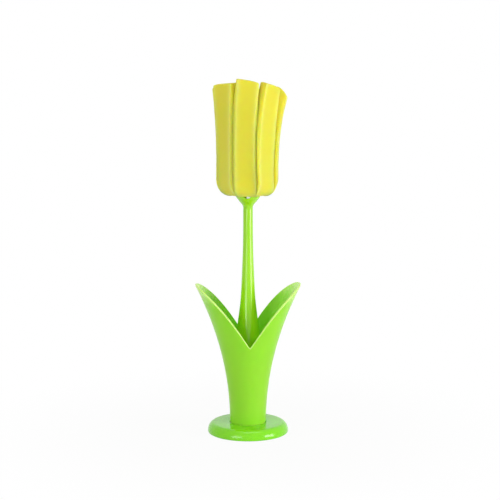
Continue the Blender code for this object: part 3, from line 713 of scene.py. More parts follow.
def leaf_plastic(shell):
    """Satin plastic, paler towards the leaf tips where light shining through is painted, with a
    painted highlight along its rim.
    """
    material, tree, shader, surface, place = moulded_plastic(
        "leaf_plastic", shell.tint, shell.roughness, bump=0.00004, glow=1.0,
        gloss=shell.gloss, glow_depth=shell.glow_depth)
    split = add_node(tree, "ShaderNodeSeparateXYZ", {"Vector": place})
    tip_light_share = ease(tree, split.outputs["Z"], shell.tip - shell.fade, shell.tip)
    # Painted light: a highlight along the rim and light through the tips, mixed into the colour
    rim = calculate(tree, "MULTIPLY", read_mark(tree, "leaf_rim"), shell.rim_highlight_share)
    tip_and_rim_light = calculate(tree, "MAXIMUM", rim, tip_light_share)
    tint = mix_tints(tree, tip_and_rim_light, surface.outputs["Colour"], shell.tip_light_tint)
    set_inputs(tree, shader, {"Base Color": tint})
    return material


def stem_plastic(stem):
    return moulded_plastic("stem_plastic", stem.tint, stem.roughness, bump=0.000006,
                           tone=0.10, rubbing=0.03, coat=0.2, glow=0.6, gloss=0.35,
                           glow_depth=0.0030)[0]


def white_plastic(head):
    return moulded_plastic("white_plastic", head.plug_tint, head.plug_roughness,
                           bump=0.00003, tone=0.10)[0]


def sponge_foam(foam):
    """Soft open-cell foam: dull, with fine pores in painted shade, random darker patches and a
    painted highlight along its cut edges. Light sinks into it.
    """
    material, tree, shader, place = new_material("sponge_foam")
    cells = add_node(tree, "ShaderNodeGroup", {"Vector": place, "Cell Scale": 1 / foam.cell},
                     node_tree=foam_cells_group())
    pore = cells.outputs["Pore"]
    # Painted shade down in the pores, plus random darker patches of foam
    depth = calculate(tree, "MULTIPLY", pore, foam.pore_shade_and_patch_tone)
    depth = calculate(tree, "MULTIPLY_ADD", cells.outputs["Patch"], foam.pore_shade_and_patch_tone, depth)
    tint = mix_tints(tree, depth, foam.tint, foam.pore_shade_and_patch_tint)
    set_inputs(tree, shader, {
        # Painted highlight along the cut edges
        "Base Color": mix_tints(tree, read_mark(tree, "petal_edge"), tint, foam.edge_highlight_tint),
        "Roughness": calculate(tree, "MULTIPLY_ADD", pore, foam.pore_roughness, foam.roughness),
        "Normal": relief(tree, cells.outputs["Height"], foam.pore, strength=0.8),
        "Specular IOR Level": foam.gloss,
        "Subsurface Weight": 1.0,
        "Subsurface Radius": FOAM_GLOW_SHARES,
        "Subsurface Scale": foam.glow_depth,
        "Sheen Weight": foam.sheen,
    })
    return material


def plated_steel(head):
    """Plated steel with fine turning marks round the screw."""
    material, tree, shader, place = new_material("plated_steel")
    squeeze = add_node(tree, "ShaderNodeMapping", {"Vector": place, "Scale": STEEL_MARK_SCALE})
    marks = cloud(tree, squeeze.outputs["Vector"], scale=1.0, detail=3.0)
    least = head.steel_roughness - head.steel_rubbing
    deep = deeper(head.steel_tint, share=0.9)
    set_inputs(tree, shader, {
        "Base Color": mix_tints(tree, marks, deep, head.steel_tint),
        "Roughness": calculate(tree, "MULTIPLY_ADD", marks, head.steel_marks, least),
        "Metallic": 1.0,
        "Normal": relief(tree, marks, depth=0.00002, strength=0.6),
    })
    return material


# Round foot

def foot_levels(foot):
    """Heights of the socket's floor and of the web's underside."""
    socket_floor = foot.height - foot.socket
    return socket_floor, socket_floor - foot.wall


def foot_edge_centre(foot):
    return (foot.radius - foot.edge, foot.height - foot.crown - foot.edge_height)


def foot_outline(sizes):
    """Closed section of the foot, from the screw hole's top round by the rim and back."""
    foot, shell, head, gap = sizes.foot, sizes.shell, sizes.head, sizes.fits.gap
    socket_floor, web = foot_levels(foot)
    centre = foot_edge_centre(foot)
    hole = head.screw + gap
    socket = shell.radius + gap
    head_space = head.foot_screw_head + gap
    hub = head_space + foot.hub_wall
    rim_inner = foot.radius - foot.heel - foot.wall
    outline = [(hole, socket_floor), (socket, socket_floor), (socket, foot.height - gap)]
    outline.append((socket + gap, foot.height))
    outline += arc(centre, (foot.edge, foot.edge_height), 90, 0, steps=24)
    heel = (foot.radius - foot.heel, foot.heel)
    outline += arc(heel, (foot.heel, foot.heel), 0, -90, steps=8)
    outline += [(rim_inner, 0.0), (rim_inner, centre[1])]
    inner_edge = (rim_inner - centre[0], foot.edge_height - foot.wall)
    outline += arc(centre, inner_edge, 25, 90, steps=12)
    outline.append((socket + foot.wall, foot.height - foot.wall))
    outline += [(socket + foot.wall, web), (hub, web), (hub, foot.hub_setback)]
    outline += [(head_space, foot.hub_setback), (head_space, web), (hole, web)]
    return soften(outline, sizes.fits.soft_edge, closed=True)


def rib_outline(sizes):
    """Rib under the foot, from the hub to the rim, sunk into the walls that it meets."""
    foot, gap = sizes.foot, sizes.fits.gap
    web = foot_levels(foot)[1]
    centre = foot_edge_centre(foot)
    sink = foot.wall / 4
    start = sizes.head.foot_screw_head + gap + foot.hub_wall / 2
    end = foot.radius - foot.heel - foot.wall / 2
    top = foot.height - foot.wall + sink
    step = sizes.shell.radius + gap + foot.wall
    return [
        (start, foot.rib_setback),
        (end, foot.rib_setback),
        (end, foot.height / 2),
        (centre[0] + (end - centre[0]) * 0.7, top - foot.wall),
        (centre[0], top - foot.crown),
        (step + sink, top),
        (step - sink, web + sink),
        (start, web + sink),
    ]


def make_foot(sizes):
    foot = sizes.foot
    piece = add_mesh("round_foot", lathe(foot_outline(sizes), sizes.fits.steps, closed=True))
    for i in range(foot.ribs):
        rib = add_mesh("foot_rib", slab(rib_outline(sizes), foot.rib))
        turn_mesh(rib, 2 * pi * (i + 0.5) / foot.ribs)
        combine(piece, rib, "UNION")
    finish_piece(piece, foot_plastic(foot), "base_disc", "stand")


# Leaf shell

def leaf_radius(shell, height):
    """Outer radius of the shell and its slope at a height above the floor."""
    span = shell.tip - SHELL_LOW.z
    share = max(height - SHELL_LOW.z, 0.0) / span
    grow = shell.reach - shell.radius
    slope = grow * shell.flare * share ** (shell.flare - 1) / span
    return shell.radius + grow * share ** shell.flare, slope


def leaf_edge_height(shell, across):
    """Height of the leaf's edge, seen from the front, at a distance from the middle of the V."""
    rounded = sqrt(across * across + shell.notch_round * shell.notch_round)
    share = (rounded - shell.notch_round) / shell.reach
    rise = (shell.tip - shell.notch) * share
    return shell.notch + rise + 4 * shell.bulge * share * (1 - share)


def leaf_top(shell, turn):
    """Height where the wall ends at an angle round the axis, by halving the range."""
    low = shell.notch
    high = shell.tip
    for _ in range(EDGE_ROUNDS):
        middle = (low + high) / 2
        across = leaf_radius(shell, middle)[0] * abs(cos(turn))
        if middle < leaf_edge_height(shell, across):
            low = middle
        else:
            high = middle
    return low


def wall_point(shell, height, depth):
    """Point of the wall at a depth below the outer face, as (radius, height)."""
    radius, slope = leaf_radius(shell, height)
    lean = hypot(1.0, slope)
    return radius - depth / lean, height + depth * slope / lean


def rim_points(shell, top):
    """Rounded rim from the outer to the inner face, at the height where the wall ends."""
    radius, slope = leaf_radius(shell, top)
    lean = hypot(1.0, slope)
    up = Vector((slope, 1.0)) / lean
    inward = Vector((-1.0, slope)) / lean
    corner = Vector((radius, top))
    points = []
    for middle, start, end in ((shell.rim, 180, 90), (shell.wall - shell.rim, 90, 0)):
        turn = arc((middle, -shell.rim), (shell.rim, shell.rim), start, end, steps=5)
        for along, height in turn:
            points.append(tuple(corner + inward * along + up * height))
    return points


def leaf_turns():
    """Angles round the axis, closer together at the notches and at the tips."""
    turns = []
    for side in range(4):
        for i in range(QUARTER_STEPS):
            share = i / QUARTER_STEPS
            share -= TURN_CROWDING * sin(2 * pi * share) / (2 * pi)
            turns.append((side + share) * pi / 2)
    return turns


def shell_rows(sizes):
    """Rows round the shell from pilot hole to boss, and which of them make the rim."""
    shell, head = sizes.shell, sizes.head
    foot = SHELL_LOW.z
    inner = shell.radius - shell.wall
    underside = foot + shell.recess
    floor = underside + shell.floor
    boss_top = floor + shell.boss_height
    hole = head.screw + sizes.fits.gap
    pilot_top = FOOT_SCREW_HIGH.z + sizes.fits.gap + shell.recess / 2
    below = [(0.0, pilot_top), (hole, pilot_top), (hole, foot), (shell.boss, foot),
             (shell.boss, underside), (inner, underside), (inner, foot), (shell.radius, foot),
             (shell.radius, foot + shell.wall)]
    above = [(inner, floor + shell.wall), (inner, floor), (shell.boss, floor),
             (shell.boss, boss_top), (0.0, boss_top)]
    below = soften(below, sizes.fits.soft_edge)
    above = soften(above, sizes.fits.soft_edge)
    shares = [1 - (1 - i / WALL_STEPS) ** WALL_CROWDING for i in range(1, WALL_STEPS)]
    columns = []
    for turn in leaf_turns():
        rim = rim_points(shell, leaf_top(shell, turn))
        outer_top = rim[0][1]
        inner_top = rim[-1][1]
        line = list(below)
        for share in shares:
            height = below[-1][1] + (outer_top - below[-1][1]) * share
            line.append((leaf_radius(shell, height)[0], height))
        line += rim
        for share in reversed(shares):
            height = above[0][1] + (inner_top - above[0][1]) * share
            line.append(inner_wall_point(shell, height))
        line += above
        columns.append((turn, line))
    rows = []
    for k in range(len(columns[0][1])):
        ring = [(line[k][0] * cos(turn), line[k][0] * sin(turn), line[k][1])
                for turn, line in columns]
        rows.append(ring if ring[0][:2] != (0.0, 0.0) else ring[:1])
    first = len(below) + len(shares)
    return rows, range(first, first + len(rim))


def inner_wall_point(shell, height):
    """Point of the inner face at a height: the face stands off the outer one by the wall."""
    outer_height = height
    for _ in range(WALL_ROUNDS):
        outer_height -= wall_point(shell, outer_height, shell.wall)[1] - height
    return wall_point(shell, outer_height, shell.wall)[0], height


def shell_shape(sizes):
    """The shell, with its rim marked for the painted highlight there."""
    rows, rim = shell_rows(sizes)
    shape = skin(rows)
    values = [1.0 if i in rim else 0.0 for i, row in enumerate(rows) for _ in row]
    mark_points(shape, "leaf_rim", values)
    return shape


def make_shell(sizes):
    piece = add_mesh("leaf_shell", shell_shape(sizes))
    finish_piece(piece, leaf_plastic(sizes.shell), "leaf_vase", "stand")


# Stem

def flared_points(shares, radii, heights, steps):
    """Smooth outline between two heights, from shares of the height and of the flare."""
    neck, wide = radii
    start, end = heights
    knots = [(neck + (wide - neck) * out, start + (end - start) * along)
             for along, out in shares]
    return smooth_curve(knots, steps)


def stem_outer_points(stem):
    """Outer side of the stem from the collar's foot down to its own foot."""
    radii = (stem.neck_radius, stem.foot_radius)
    heights = (STEM_LOW.z, STEM_HIGH.z - stem.collar_height)
    return flared_points(reversed(STEM_OUTLINE_SHARES), radii, heights, steps=8)


def collar_outer_points(stem):
    """Outer side of the collar from its rim down to the neck."""
    radii = (stem.neck_radius, stem.collar_radius)
    heights = (STEM_HIGH.z, STEM_HIGH.z - stem.collar_height)
    return flared_points(COLLAR_OUTLINE_SHARES, radii, heights, steps=4)


def cup_points(sizes):
    """Inside of the collar from its throat up to the rim."""
    stem = sizes.stem
    least = sizes.head.shank + 2 * sizes.fits.gap
    points = [(radius - stem.collar_wall, height)
              for radius, height in collar_outer_points(stem)
              if radius - stem.collar_wall > least]
    return list(reversed(points))


def stem_outline(sizes):
    """Whole section of the stem: plug socket, collar, outer side, hollow foot."""
    stem, gap = sizes.stem, sizes.fits.gap
    top = STEM_HIGH.z
    socket = sizes.head.shank + gap
    socket_floor = PLUG_LOW.z - gap
    cup = cup_points(sizes)
    throat = cup[0][1] - (cup[0][0] - socket)
    outline = [(0.0, socket_floor), (socket, socket_floor), (socket, throat)]
    outline += cup[:-1]
    outline += [(stem.collar_radius - stem.collar_wall, top), (stem.collar_radius, top)]
    outline += collar_outer_points(stem)[1:-1]
    outer = stem_outer_points(stem)
    core_top = STEM_LOW.z + stem.core
    outline += outer
    core = [(radius - stem.wall, height) for radius, height in reversed(outer)
            if height < core_top]
    outline += core
    outline.append((core[-1][0] * stem.core_tip, core_top))
    outline.append((0.0, core_top + stem.wall))
    return soften(outline, sizes.fits.soft_edge)


def make_stem(sizes):
    stem = sizes.stem
    piece = add_mesh("flared_stem", lathe(stem_outline(sizes), sizes.fits.steps))
    reach = stem.collar_radius / 2
    centre = (0.0, STEM_HIGH.z + stem.notch_radius - stem.notch_depth)
    ring = arc(centre, (stem.notch_radius, stem.notch_radius), 0, 360, steps=64)[:-1]
    bar = add_mesh("notch_cutter", slab(ring, 2 * reach))
    bar.data.transform(Matrix.Translation((0.0, -2 * reach, 0.0)))
    combine(piece, bar, "DIFFERENCE")
    turn_mesh(piece, sizes.fits.turn)
    finish_piece(piece, stem_plastic(stem), "stem", "brush")


# Plug, press disc and screws

def plug_outline(sizes):
    """Plug: pilot hole, flange, cone that fits the collar's cup, and shank."""
    head, stem, gap = sizes.head, sizes.stem, sizes.fits.gap
    hole = head.screw + gap
    pilot_foot = PLUG_SCREW_LOW.z - sizes.shell.recess
    lean_gap = gap * sqrt(2)
    cup = [(radius - lean_gap, height) for radius, height in reversed(cup_points(sizes))
           if radius - lean_gap > head.shank]
    flange = stem.collar_radius - stem.collar_wall - lean_gap
    throat = cup[-1][1] - (cup[-1][0] - head.shank)
    outline = [(0.0, pilot_foot), (hole, pilot_foot), (hole, PLUG_HIGH.z),
               (flange, PLUG_HIGH.z), *cup[1:], (head.shank, throat),
               (head.shank, PLUG_LOW.z + head.chamfer),
               (head.shank - head.chamfer, PLUG_LOW.z), (0.0, PLUG_LOW.z)]
    return soften(outline, gap)


def notch_slice(sizes, left, right, radius, top, steps=16):
    """Part of the collar's round notch between two distances across it, up to a height."""
    stem = sizes.stem
    centre = STEM_HIGH.z + stem.notch_radius - stem.notch_depth
    outline = [(right, top), (left, top)]
    for i in range(steps + 1):
        across = left + (right - left) * i / steps
        outline.append((across, centre - sqrt(radius * radius - across * across)))
    return outline


def add_plug_slab(sizes, name, outline, depth):
    """Slab that starts at the collar's outer face and reaches in by a depth."""
    reach = sizes.stem.collar_radius * sizes.head.key_reach
    shape = slab(outline, depth)
    bmesh.ops.translate(shape, verts=shape.verts, vec=(0.0, depth / 2 - reach, 0.0))
    return add_mesh(name, shape)


def make_plug(sizes):
    head, stem, gap = sizes.head, sizes.stem, sizes.fits.gap
    piece = add_mesh("sponge_plug", lathe(plug_outline(sizes), sizes.fits.steps))
    radius = stem.notch_radius - head.key_play
    key = notch_slice(sizes, -head.key_left, head.key_right, radius, PLUG_HIGH.z - gap)
    pocket_left = -radius * POCKET_SHARE
    pocket = notch_slice(sizes, pocket_left, -head.key_left, radius, PLUG_HIGH.z + gap)
    key_depth = 2 * stem.collar_wall
    combine(piece, add_plug_slab(sizes, "pocket_cutter", pocket, head.pocket), "DIFFERENCE")
    combine(piece, add_plug_slab(sizes, "plug_key", key, key_depth), "UNION")
    turn_mesh(piece, sizes.fits.turn)
    finish_piece(piece, white_plastic(head), "head_plug", "head")


def make_disc(sizes):
    head = sizes.head
    hole = head.screw + sizes.fits.gap
    outline = [(hole, DISC_HIGH.z), (head.disc, DISC_HIGH.z), (head.disc, DISC_LOW.z),
               (hole, DISC_LOW.z)]
    outline = soften(outline, head.disc_round, closed=True, steps=5)
    piece = add_mesh("press_disc", lathe(outline, sizes.fits.steps, closed=True))
    finish_piece(piece, white_plastic(head), "clamp_disc", "head")


def thread_height(phase):
    """Height share of a thread with a narrow crest and a narrow root, over one turn."""
    steepness = 1.5
    root = 0.25
    return clamp(abs(2 * phase - 1) * steepness - root)


def screw_shape(head, head_radius, length_under_head, steps):
    """Pan-head screw, head up, with a winding thread. The head's underside is at height zero."""
    rise = (head_radius, head.head_height * 2 / 3)
    dome = arc((0.0, head.head_height / 3), rise, 90, 0, steps=12)
    dome = [(0.0, dome[0][1])] + dome[1:]
    dome += [(head_radius, head.thread / 2), (head_radius - head.thread / 2, 0.0)]
    dome += [(head.screw + head.thread / 2, 0.0), (head.screw - head.thread, -head.thread / 2)]
    rows = [circle(radius, height, steps) for radius, height in dome]
    per_turn = 10
    total = int(per_turn * length_under_head / head.pitch)
    core = head.screw - head.thread
    for k in range(2, total + 1):
        depth = length_under_head * k / total
        start = clamp((depth - head.runout) / head.pitch)
        left = length_under_head - depth
        taper = min(left / head.point, 1.0) ** 0.5 if left else 0.0
        ring = []
        for i in range(steps if left else 1):
            turn = 2 * pi * i / steps
            phase = (depth / head.pitch + i / steps) % 1.0
            radius = (core + head.thread * start * thread_height(phase)) * taper
            ring.append((radius * cos(turn), radius * sin(turn), -depth))
        rows.append(ring)
    return skin(rows)


def recess_shape(head):
    """Tapered cross that is cut into a screw's head."""
    cross = []
    for quarter in range(4):
        for x, y in ((head.recess_width, head.recess_width), (head.recess, head.recess_width),
                     (head.recess, -head.recess_width)):
            turn = pi / 2 * (1 - quarter)
            cross.append((x * cos(turn) - y * sin(turn), x * sin(turn) + y * cos(turn)))
    open_share = 1.3
    deep_share = 0.5
    rows = []
    for height, share in ((head.recess_depth, open_share), (-head.recess_depth, deep_share)):
        rows.append([(x * share, y * share, head.head_height + height) for x, y in cross])
    return skin(rows, caps=True)


def make_screw(name, node, body, seat, tip, head_radius, sizes, head_down=False):
    """Screw between the height of its seat and the height of its tip."""
    head = sizes.head
    piece = add_mesh(name, screw_shape(head, head_radius, abs(seat - tip), steps=48))
    combine(piece, add_mesh("cross_recess", recess_shape(head)), "DIFFERENCE")
    if head_down:
        piece.data.transform(Matrix.Rotation(pi, 4, "X"))
    piece.data.transform(Matrix.Translation((0.0, 0.0, seat)))
    finish_piece(piece, plated_steel(head), node, body, sharp=50)


def make_screws(sizes):
    head = sizes.head
    make_screw("plug_screw", "clamp_screw", "head", PLUG_SCREW_HIGH.z - head.head_height,
               PLUG_SCREW_LOW.z, head.screw_head, sizes)
    make_screw("foot_screw", "base_screw", "stand", FOOT_SCREW_LOW.z + head.head_height,
               FOOT_SCREW_HIGH.z, head.foot_screw_head, sizes, head_down=True)


# Foam strips

def wedge_half_width(radius, gap):
    """Room for half a petal between its two neighbours at a distance from the axis."""
    return radius * tan(PETAL_HALF_ANGLE) - gap / 2 / cos(PETAL_HALF_ANGLE)


def section_places(thickness, half_width, edge):
    """Places round a petal's section, each (depth from the outer face, distance across)."""
    edge = min(edge, thickness * CUT_CORNER_SHARE)
    flat = half_width - edge
    places = [(0.0, flat * (2 * i / OUTER_STEPS - 1)) for i in range(OUTER_STEPS + 1)]
    corners = ((edge, flat, -90, 0), (thickness - edge, flat, 0, 90))
    right = []
    for depth, across, start, end in corners:
        for i in range(CORNER_STEPS):
            turn = radians(start + (end - start) * (i + 1) / CORNER_STEPS)
            right.append((depth + edge * sin(turn), across + edge * cos(turn)))
        if start == -90:
            right += [(edge + (thickness - 2 * edge) * i / SIDE_STEPS, half_width)
                      for i in range(1, SIDE_STEPS)]
    inner = [(thickness, flat * (1 - 2 * i / INNER_STEPS)) for i in range(1, INNER_STEPS + 1)]
    left = [(depth, -across) for depth, across in reversed(right)]
    return places + right + inner + left[1:]


def petal_section(foam, outer, inner, half_width, free=1.0, twist=0.0, swell=0.0):
    """Section of a petal between its outer and inner point, each (radius, height)."""
    span = Vector(inner) - Vector(outer)
    thickness = span.length
    into = span.normalized()
    ring = []
    for depth, across in section_places(thickness, half_width, foam.edge):
        share = across / half_width
        near = max(1 - 2 * depth / thickness, 0.0)
        across += swell * share ** SWELL_POWER * smooth((depth - foam.edge / 2) / foam.edge)
        sink = foam.hollow * (1 - abs(share) ** HOLLOW_POWER) * near * free
        point = Vector(outer) + into * (depth + sink)
        along = point.x - outer[0]
        radius = outer[0] + along * cos(twist) - across * sin(twist)
        side = along * sin(twist) + across * cos(twist)
        room = wedge_half_width(radius, foam.touch)
        ring.append(Vector((radius, min(max(side, -room), room), point.y)))
    return ring


def petal_rings(foam, gap, number):
    """Sections of one petal from the clamp out, round the fold and up to its tip."""
    level = number % STRIP_COUNT
    foot = PLUG_HIGH.z + gap
    floor = foot + level * (foam.pressed + gap)
    fold_centre = (foam.radius - foam.fold_depth, foot + foam.fold_height)
    outer_radii = (foam.fold_depth, foam.fold_height + foam.sag)
    inner_radii = (foam.fold_depth - foam.thickness, foam.fold_height - foam.thickness)
    outer_fold = arc(fold_centre, outer_radii, -90, 0, FOLD_STEPS)
    inner_fold = arc(fold_centre, inner_radii, -90, 0, FOLD_STEPS)
    start = Vector((foam.pressed_reach, floor))
    start_inner = start + Vector((0.0, foam.pressed))
    pressed = wedge_half_width(foam.pressed_reach, gap)
    full = foam.width * PETAL_WIDTH_SHARES[number] / 2
    rings = []
    for i in range(LEAD_STEPS):
        share = i / LEAD_STEPS
        outer = start.lerp(Vector(outer_fold[0]), share)
        inner = start_inner.lerp(Vector(inner_fold[0]), share)
        outer.y = foot - foam.sag * smooth(share) + (outer.y - foot + foam.sag * share)
        half_width = pressed + (full - pressed) * min(2 * share, 1.0)
        rings.append(petal_section(foam, outer, inner, half_width, share))
    fold_twist = radians(PETAL_TWIST_DEGREES[number][0])
    for i, (outer, inner) in enumerate(zip(outer_fold, inner_fold)):
        twist = fold_twist * (i / FOLD_STEPS) ** 2
        swell = foam.swell * i / FOLD_STEPS
        rings.append(petal_section(foam, outer, inner, full, twist=twist, swell=swell))
    rise = foam.height * PETAL_HEIGHT_SHARES[number] - foam.fold_height
    top = 1 - foam.edge / rise
    for i in range(TALL_STEPS):
        share = (i + 1) / TALL_STEPS * top
        rings.append(petal_station(foam, number, share, fold_centre[1] + rise * share))
    return rings + petal_cap(foam, number, top, fold_centre[1] + rise * top, rings[-1])


def petal_size(foam, number, share):
    """Outer face from the axis, and half the width, at a share of a petal's upright height."""
    lean = foam.lean * PETAL_LEAN_SHARES[number]
    waist = foam.waist * 4 * share * (1 - share)
    taper = 1 + (PETAL_TIP_SHARES[number] - 1) * share ** 2
    half_width = foam.width * PETAL_WIDTH_SHARES[number] / 2 * (1 - waist) * taper
    return foam.radius + lean * share ** foam.lean_power, half_width


def cut_rise(foam, number, share, x, y):
    """How far the slanted cut of the tip, lowest along its outer edge, raises a place."""
    out, half_width = petal_size(foam, number, share)
    depth = clamp((out - x) / foam.thickness)
    tilt = foam.thickness * PETAL_TILT_SHARES[number] * (0.5 - (1 - depth) ** 2)
    corner = foam.width * PETAL_CORNER_SHARES[number] * max(y / half_width, 0.0) ** 3
    return (tilt + PETAL_SKEW_SHARES[number] * y - corner) * max(2 * share - 1, 0.0)


def petal_station(foam, number, share, height):
    """Section of a petal at a share of its upright height."""
    fold_twist, tip_twist = (radians(turn) for turn in PETAL_TWIST_DEGREES[number])
    twist = fold_twist + (tip_twist - fold_twist) * share
    out, half_width = petal_size(foam, number, share)
    ring = petal_section(foam, (out, height), (out - foam.thickness, height), half_width,
                         twist=twist, swell=foam.swell * (1 - share ** 3))
    for point in ring:
        point.z += cut_rise(foam, number, share, point.x, point.y)
    return ring


def petal_cap(foam, number, share, height, rim):
    """Rounded rim and closed top over the last upright section of a petal."""
    out, half_width = petal_size(foam, number, share)
    middle = out - foam.thickness / 2
    steps = []
    for turn in CAP_RIM_DEGREES:
        drawn = foam.edge * (1 - cos(radians(turn)))
        steps.append((1 - 2 * drawn / foam.thickness, 1 - drawn / half_width,
                      foam.edge * sin(radians(turn))))
    deep, wide, up = steps[-1]
    steps += [(deep * left, wide * left, up) for left in CAP_FACE_SHARES]
    rings = []
    for deep, wide, up in steps:
        ring = []
        for point in rim:
            x = middle + (point.x - middle) * deep
            y = point.y * wide
            ring.append(Vector((x, y, height + up + cut_rise(foam, number, share, x, y))))
        rings.append(ring)
    pole = height + up + cut_rise(foam, number, share, middle, 0.0)
    rings.append([Vector((middle, 0.0, pole))])
    return rings


def strip_shape(foam, gap, number):
    """One strip: petal on the +X side, pressed middle, petal on the -X side."""
    right = petal_rings(foam, gap, number)
    left = petal_rings(foam, gap, number + STRIP_COUNT)
    rings = list(reversed(right))
    rings += [[Vector((-point.x, -point.y, point.z)) for point in reverse_ring(ring)]
              for ring in left]
    shape = skin(rings)
    places = section_places(foam.thickness, foam.width / 2, foam.edge)
    # Painted highlight along the cut edges, falling off across the outer face and left off the tip
    # rings
    edge = []
    for depth, across in places:
        near = 1 - depth / foam.thickness / EDGE_HIGHLIGHT_REACH_SHARE
        edge.append((abs(across) * 2 / foam.width) ** EDGE_HIGHLIGHT_POWER * max(near, 0.0))
    cut = [0.0] * CUT_RINGS
    kept = cut + [1.0] * (len(rings) - 2 * CUT_RINGS) + cut
    marked = []
    for ring, keep in zip(rings, kept):
        marked += [value * keep for value in edge[:len(ring)]]
    mark_points(shape, "petal_edge", marked)
    return shape


def reverse_ring(ring):
    """The same section with its points in mirrored order, across to across."""
    return [ring[(OUTER_STEPS - i) % len(ring)] for i in range(len(ring))]


def mark_points(shape, name, values):
    """Keep a value for each point of a shape, for its material to read."""
    layer = shape.verts.layers.float.new(name)
    for point, value in zip(shape.verts, values):
        point[layer] = value


def petal_turn(foam, place):
    """How far the foam at a point stands turned from an even star, in radians."""
    reach = (hypot(place.x, place.y) - foam.pressed_reach) / (foam.radius - foam.thickness)
    share = (place.z - PLUG_HIGH.z - foam.fold_height) / (foam.height - foam.fold_height)
    share = clamp(share)
    # One curve through a petal's turn at its fold, halfway up and at its tip
    weights = ((1 - share) * (1 - 2 * share), 4 * share * (1 - share), share * (2 * share - 1))
    turns = [sum(w * t for w, t in zip(weights, row)) for row in PETAL_TURN_DEGREES]
    petal = (atan2(place.y, place.x) / (2 * PETAL_HALF_ANGLE)) % PETAL_COUNT
    first = int(petal) % PETAL_COUNT
    mixed = smooth(petal - int(petal))
    turn = turns[first] * (1 - mixed) + turns[(first + 1) % PETAL_COUNT] * mixed
    return radians(turn) * smooth(reach)


def turn_petals(mesh, foam):
    """Turn each petal a little from its place in the even star."""
    for vertex in mesh.vertices:
        turn = Matrix.Rotation(petal_turn(foam, vertex.co), 3, "Z")
        vertex.co = turn @ vertex.co


def roughen(mesh, foam, number):
    """Uneven cut faces: slow waves and a fine grain, fading out under the press disc."""
    offset = Vector([number * step for step in ROUGH_STEP])
    moves = []
    for vertex in mesh.vertices:
        reach = hypot(vertex.co.x, vertex.co.y)
        share = clamp(reach / foam.pressed_reach - UNEVEN_SHARE)
        wave = noise.noise(vertex.co / foam.wave_size + offset) * foam.wave
        grain = noise.noise(vertex.co / foam.grain_size + offset) * foam.grain
        moves.append(vertex.normal * (wave + grain) * share)
    for vertex, move in zip(mesh.vertices, moves):
        vertex.co += move


def make_foam(sizes):
    foam, gap = sizes.foam, sizes.fits.gap
    material = sponge_foam(foam)
    wide = sizes.head.screw + gap
    foot = PLUG_HIGH.z - gap
    hole = [(0.0, foot), (wide, foot), (wide, DISC_HIGH.z), (0.0, DISC_HIGH.z)]
    for number in range(STRIP_COUNT):
        piece = add_mesh("folded_foam_%d" % (number + 1), strip_shape(foam, gap, number))
        path = add_mesh("screw_path", lathe(hole, steps=32))
        combine(piece, path, "DIFFERENCE")
        turn_mesh(piece, 2 * PETAL_HALF_ANGLE * number)
        turn_petals(piece.data, foam)
        roughen(piece.data, foam, number)
        turn_mesh(piece, sizes.fits.turn)
        finish_piece(piece, material, "foam_strip_%d" % (number + 1), "head", sharp=50)


# Studio

def floor_material(stage):
    """White floor that keeps the shadow near the brush and fades into the background."""
    material, tree, shader, place = new_material("studio_floor")
    set_inputs(tree, shader, {"Base Color": stage.floor_tint, "Roughness": 0.9,
                              "Specular IOR Level": 0.0})
    away = add_node(tree, "ShaderNodeVectorMath", {0: place}, operation="LENGTH")
    fade = ease(tree, away.outputs["Value"], stage.shadow_radius, stage.fade_radius,
                low=stage.floor_white)
    share = calculate(tree, "MULTIPLY", fade, seen_directly(tree))
    white = add_node(tree, "ShaderNodeEmission", {"Color": (1.0, 1.0, 1.0), "Strength": 1.0})
    lit = mix_shaders(tree, share, shader.outputs["BSDF"], white.outputs["Emission"])
    clear = add_node(tree, "ShaderNodeBsdfTransparent")
    below = add_node(tree, "ShaderNodeNewGeometry").outputs["Backfacing"]
    both = mix_shaders(tree, below, lit, clear.outputs["BSDF"])
    set_inputs(tree, tree.nodes["Material Output"], {"Surface": both})
    spread_nodes(tree)
    return material


def seen_directly(tree):
    """1 for what the camera sees itself, in a reflection or through something clear."""
    path = tree.nodes.new("ShaderNodeLightPath")
    seen = calculate(tree, "MAXIMUM", path.outputs["Is Camera Ray"],
                     path.outputs["Is Glossy Ray"])
    return calculate(tree, "MAXIMUM", seen, path.outputs["Is Transmission Ray"])


def make_world(stage):
    world = bpy.data.worlds.get("studio_world") or bpy.data.worlds.new("studio_world")
    bpy.context.scene.world = world
    world.use_nodes = True
    tree = world.node_tree
    tree.nodes.clear()
    span = 1 - stage.ambient
    strength = calculate(tree, "MULTIPLY_ADD", seen_directly(tree), span, stage.ambient)
    sky = add_node(tree, "ShaderNodeBackground", {"Color": (1.0, 1.0, 1.0),
                                                  "Strength": strength})
    add_node(tree, "ShaderNodeOutputWorld", {"Surface": sky.outputs["Background"]})
    spread_nodes(tree)


def aim_at(thing, place, target):
    """Stand a lamp or the camera at a place, turned to a target."""
    thing.location = place
    thing.rotation_mode = "QUATERNION"
    thing.rotation_quaternion = (Vector(target) - Vector(place)).to_track_quat("-Z", "Y")


def add_lamp(name, power, target):
    """Flat softbox from the table of lamps. It doesn't show itself."""
    turned_by, distance, height, box_width, box_height = LAMP_PLACES[name]
    light = bpy.data.lights.new(name + "_softbox", "AREA")
    light.shape = "RECTANGLE"
    light.size = box_width
    light.size_y = box_height
    light.energy = power
    lamp = new_object(name + "_softbox", light)
    aim_at(lamp, ahead(distance, turned_by, height), target)
    lamp.visible_camera = False
    lamp.visible_glossy = name not in LAMPS_OUT_OF_GLOSS


def ahead(distance, turned_by, height):
    """Point at a distance in front of the brush, turned to the right by an angle in degrees."""
    turn = radians(turned_by)
    return (distance * sin(turn), -distance * cos(turn), height)


